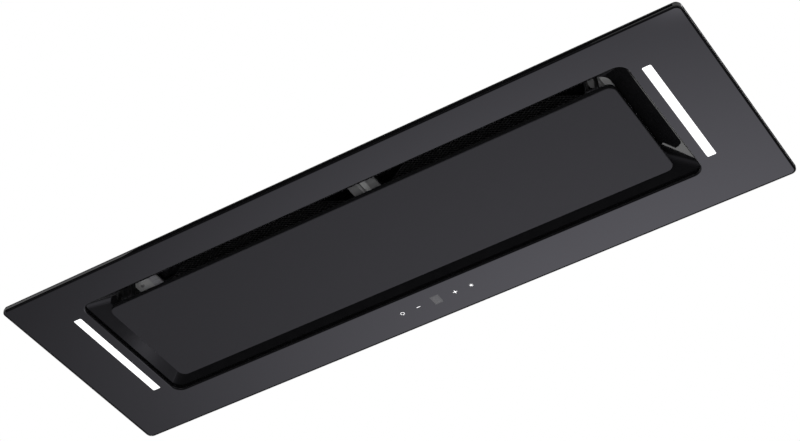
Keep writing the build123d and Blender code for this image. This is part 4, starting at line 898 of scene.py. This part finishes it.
# Outlet: a moulded spigot for flat duct on the cover. Two leaves hang on a steel rod inside it, open in the
# stream and fall shut against back draught.
spigot = merged("outlet_spigot")
piece(
    "moulded_spigot", rounded(spigot, folds(spigot, angle=60.0, inner=False), small_bevel), moulded_black,
    stands_for=["outlet_spigot"],
)
piece("flap_rod", merged("damper_rod"), zinc, stands_for=["damper_rod"])
for place in ("front", "rear"):
    piece(
        f"flap_leaf_{place}", merged(f"damper_flap_{place}"), moulded_black,
        body=f"flap_{place}", stands_for=[f"damper_flap_{place}"],
    )

# Control case: a moulded grey box with a lid on the body box's right end. It holds the power board, and a
# supply cable enters through its black gland.
case = merged("control_case")
rounded(case, folds(case, inner=False), moulded_bevel)
piece("case_shell", case, moulded_grey, stands_for=["control_case"])
lid = merged("control_lid")
rounded(lid, folds(lid, inner=False), moulded_bevel)
piece("case_lid", lid, moulded_grey, stands_for=["control_lid"])
board_top = 0.0718
board = merged("power_board")
for face in board.faces:
    if face.calc_center_median().z > board_top:
        face.material_index = 1
piece("populated_board", board, [green_varnish, moulded_black], stands_for=["power_board"])
piece("gland_body", merged("cable_gland"), moulded_black, stands_for=["cable_gland"])

# Brackets and screws: zinc-plated angles that rest on the cabinet's bottom board, and the hexagon-head screws
# that hold the box, the deck and the cover.
leaf_area = 0.0004
bracket_bend = 0.0024
bracket_inner_bend = 0.0006
brackets = merged("cabinet_brackets")
rounded(brackets, folds(brackets, area=leaf_area, inner=False), bracket_bend, 4)
rounded(brackets, folds(brackets, area=leaf_area, outer=False), bracket_inner_bend, 3)
piece("folded_brackets", brackets, zinc, stands_for=["cabinet_brackets"])


def lumps(shape):
    """The middle and half height of each separate lump of a shape."""
    reached = set()
    for start in shape.verts:
        if start in reached:
            continue
        reached.add(start)
        lump = [start]
        for vert in lump:
            for edge in vert.link_edges:
                other = edge.other_vert(vert)
                if other not in reached:
                    reached.add(other)
                    lump.append(other)
        middle = sum((vert.co for vert in lump), Vector()) / len(lump)
        yield middle, max(vert.co.z for vert in lump) - middle.z


deck_screws = (0.060, 0.063)
washer_radius = 0.0026
washer_height = 0.0005
head_radius = 0.0022
head_bevel = 0.00015
plain_heads = merged("assembly_screws")
screws = bmesh.new()
for middle, half in lumps(plain_heads):
    way = -1 if deck_screws[0] < middle.z < deck_screws[1] else 1
    seat = middle.z - way * half
    for sides, radius, low, high in (
        (20, washer_radius, 0, washer_height), (6, head_radius, washer_height, 2 * half),
    ):
        at = Matrix.Translation((middle.x, middle.y, seat + way * (low + high) / 2))
        bmesh.ops.create_cone(
            screws, cap_ends=True, segments=sides, radius1=radius, radius2=radius, depth=high - low, matrix=at
        )
plain_heads.free()
rounded(screws, folds(screws, angle=40.0, inner=False), head_bevel)
piece("hex_screws", screws, zinc, stands_for=["assembly_screws"])
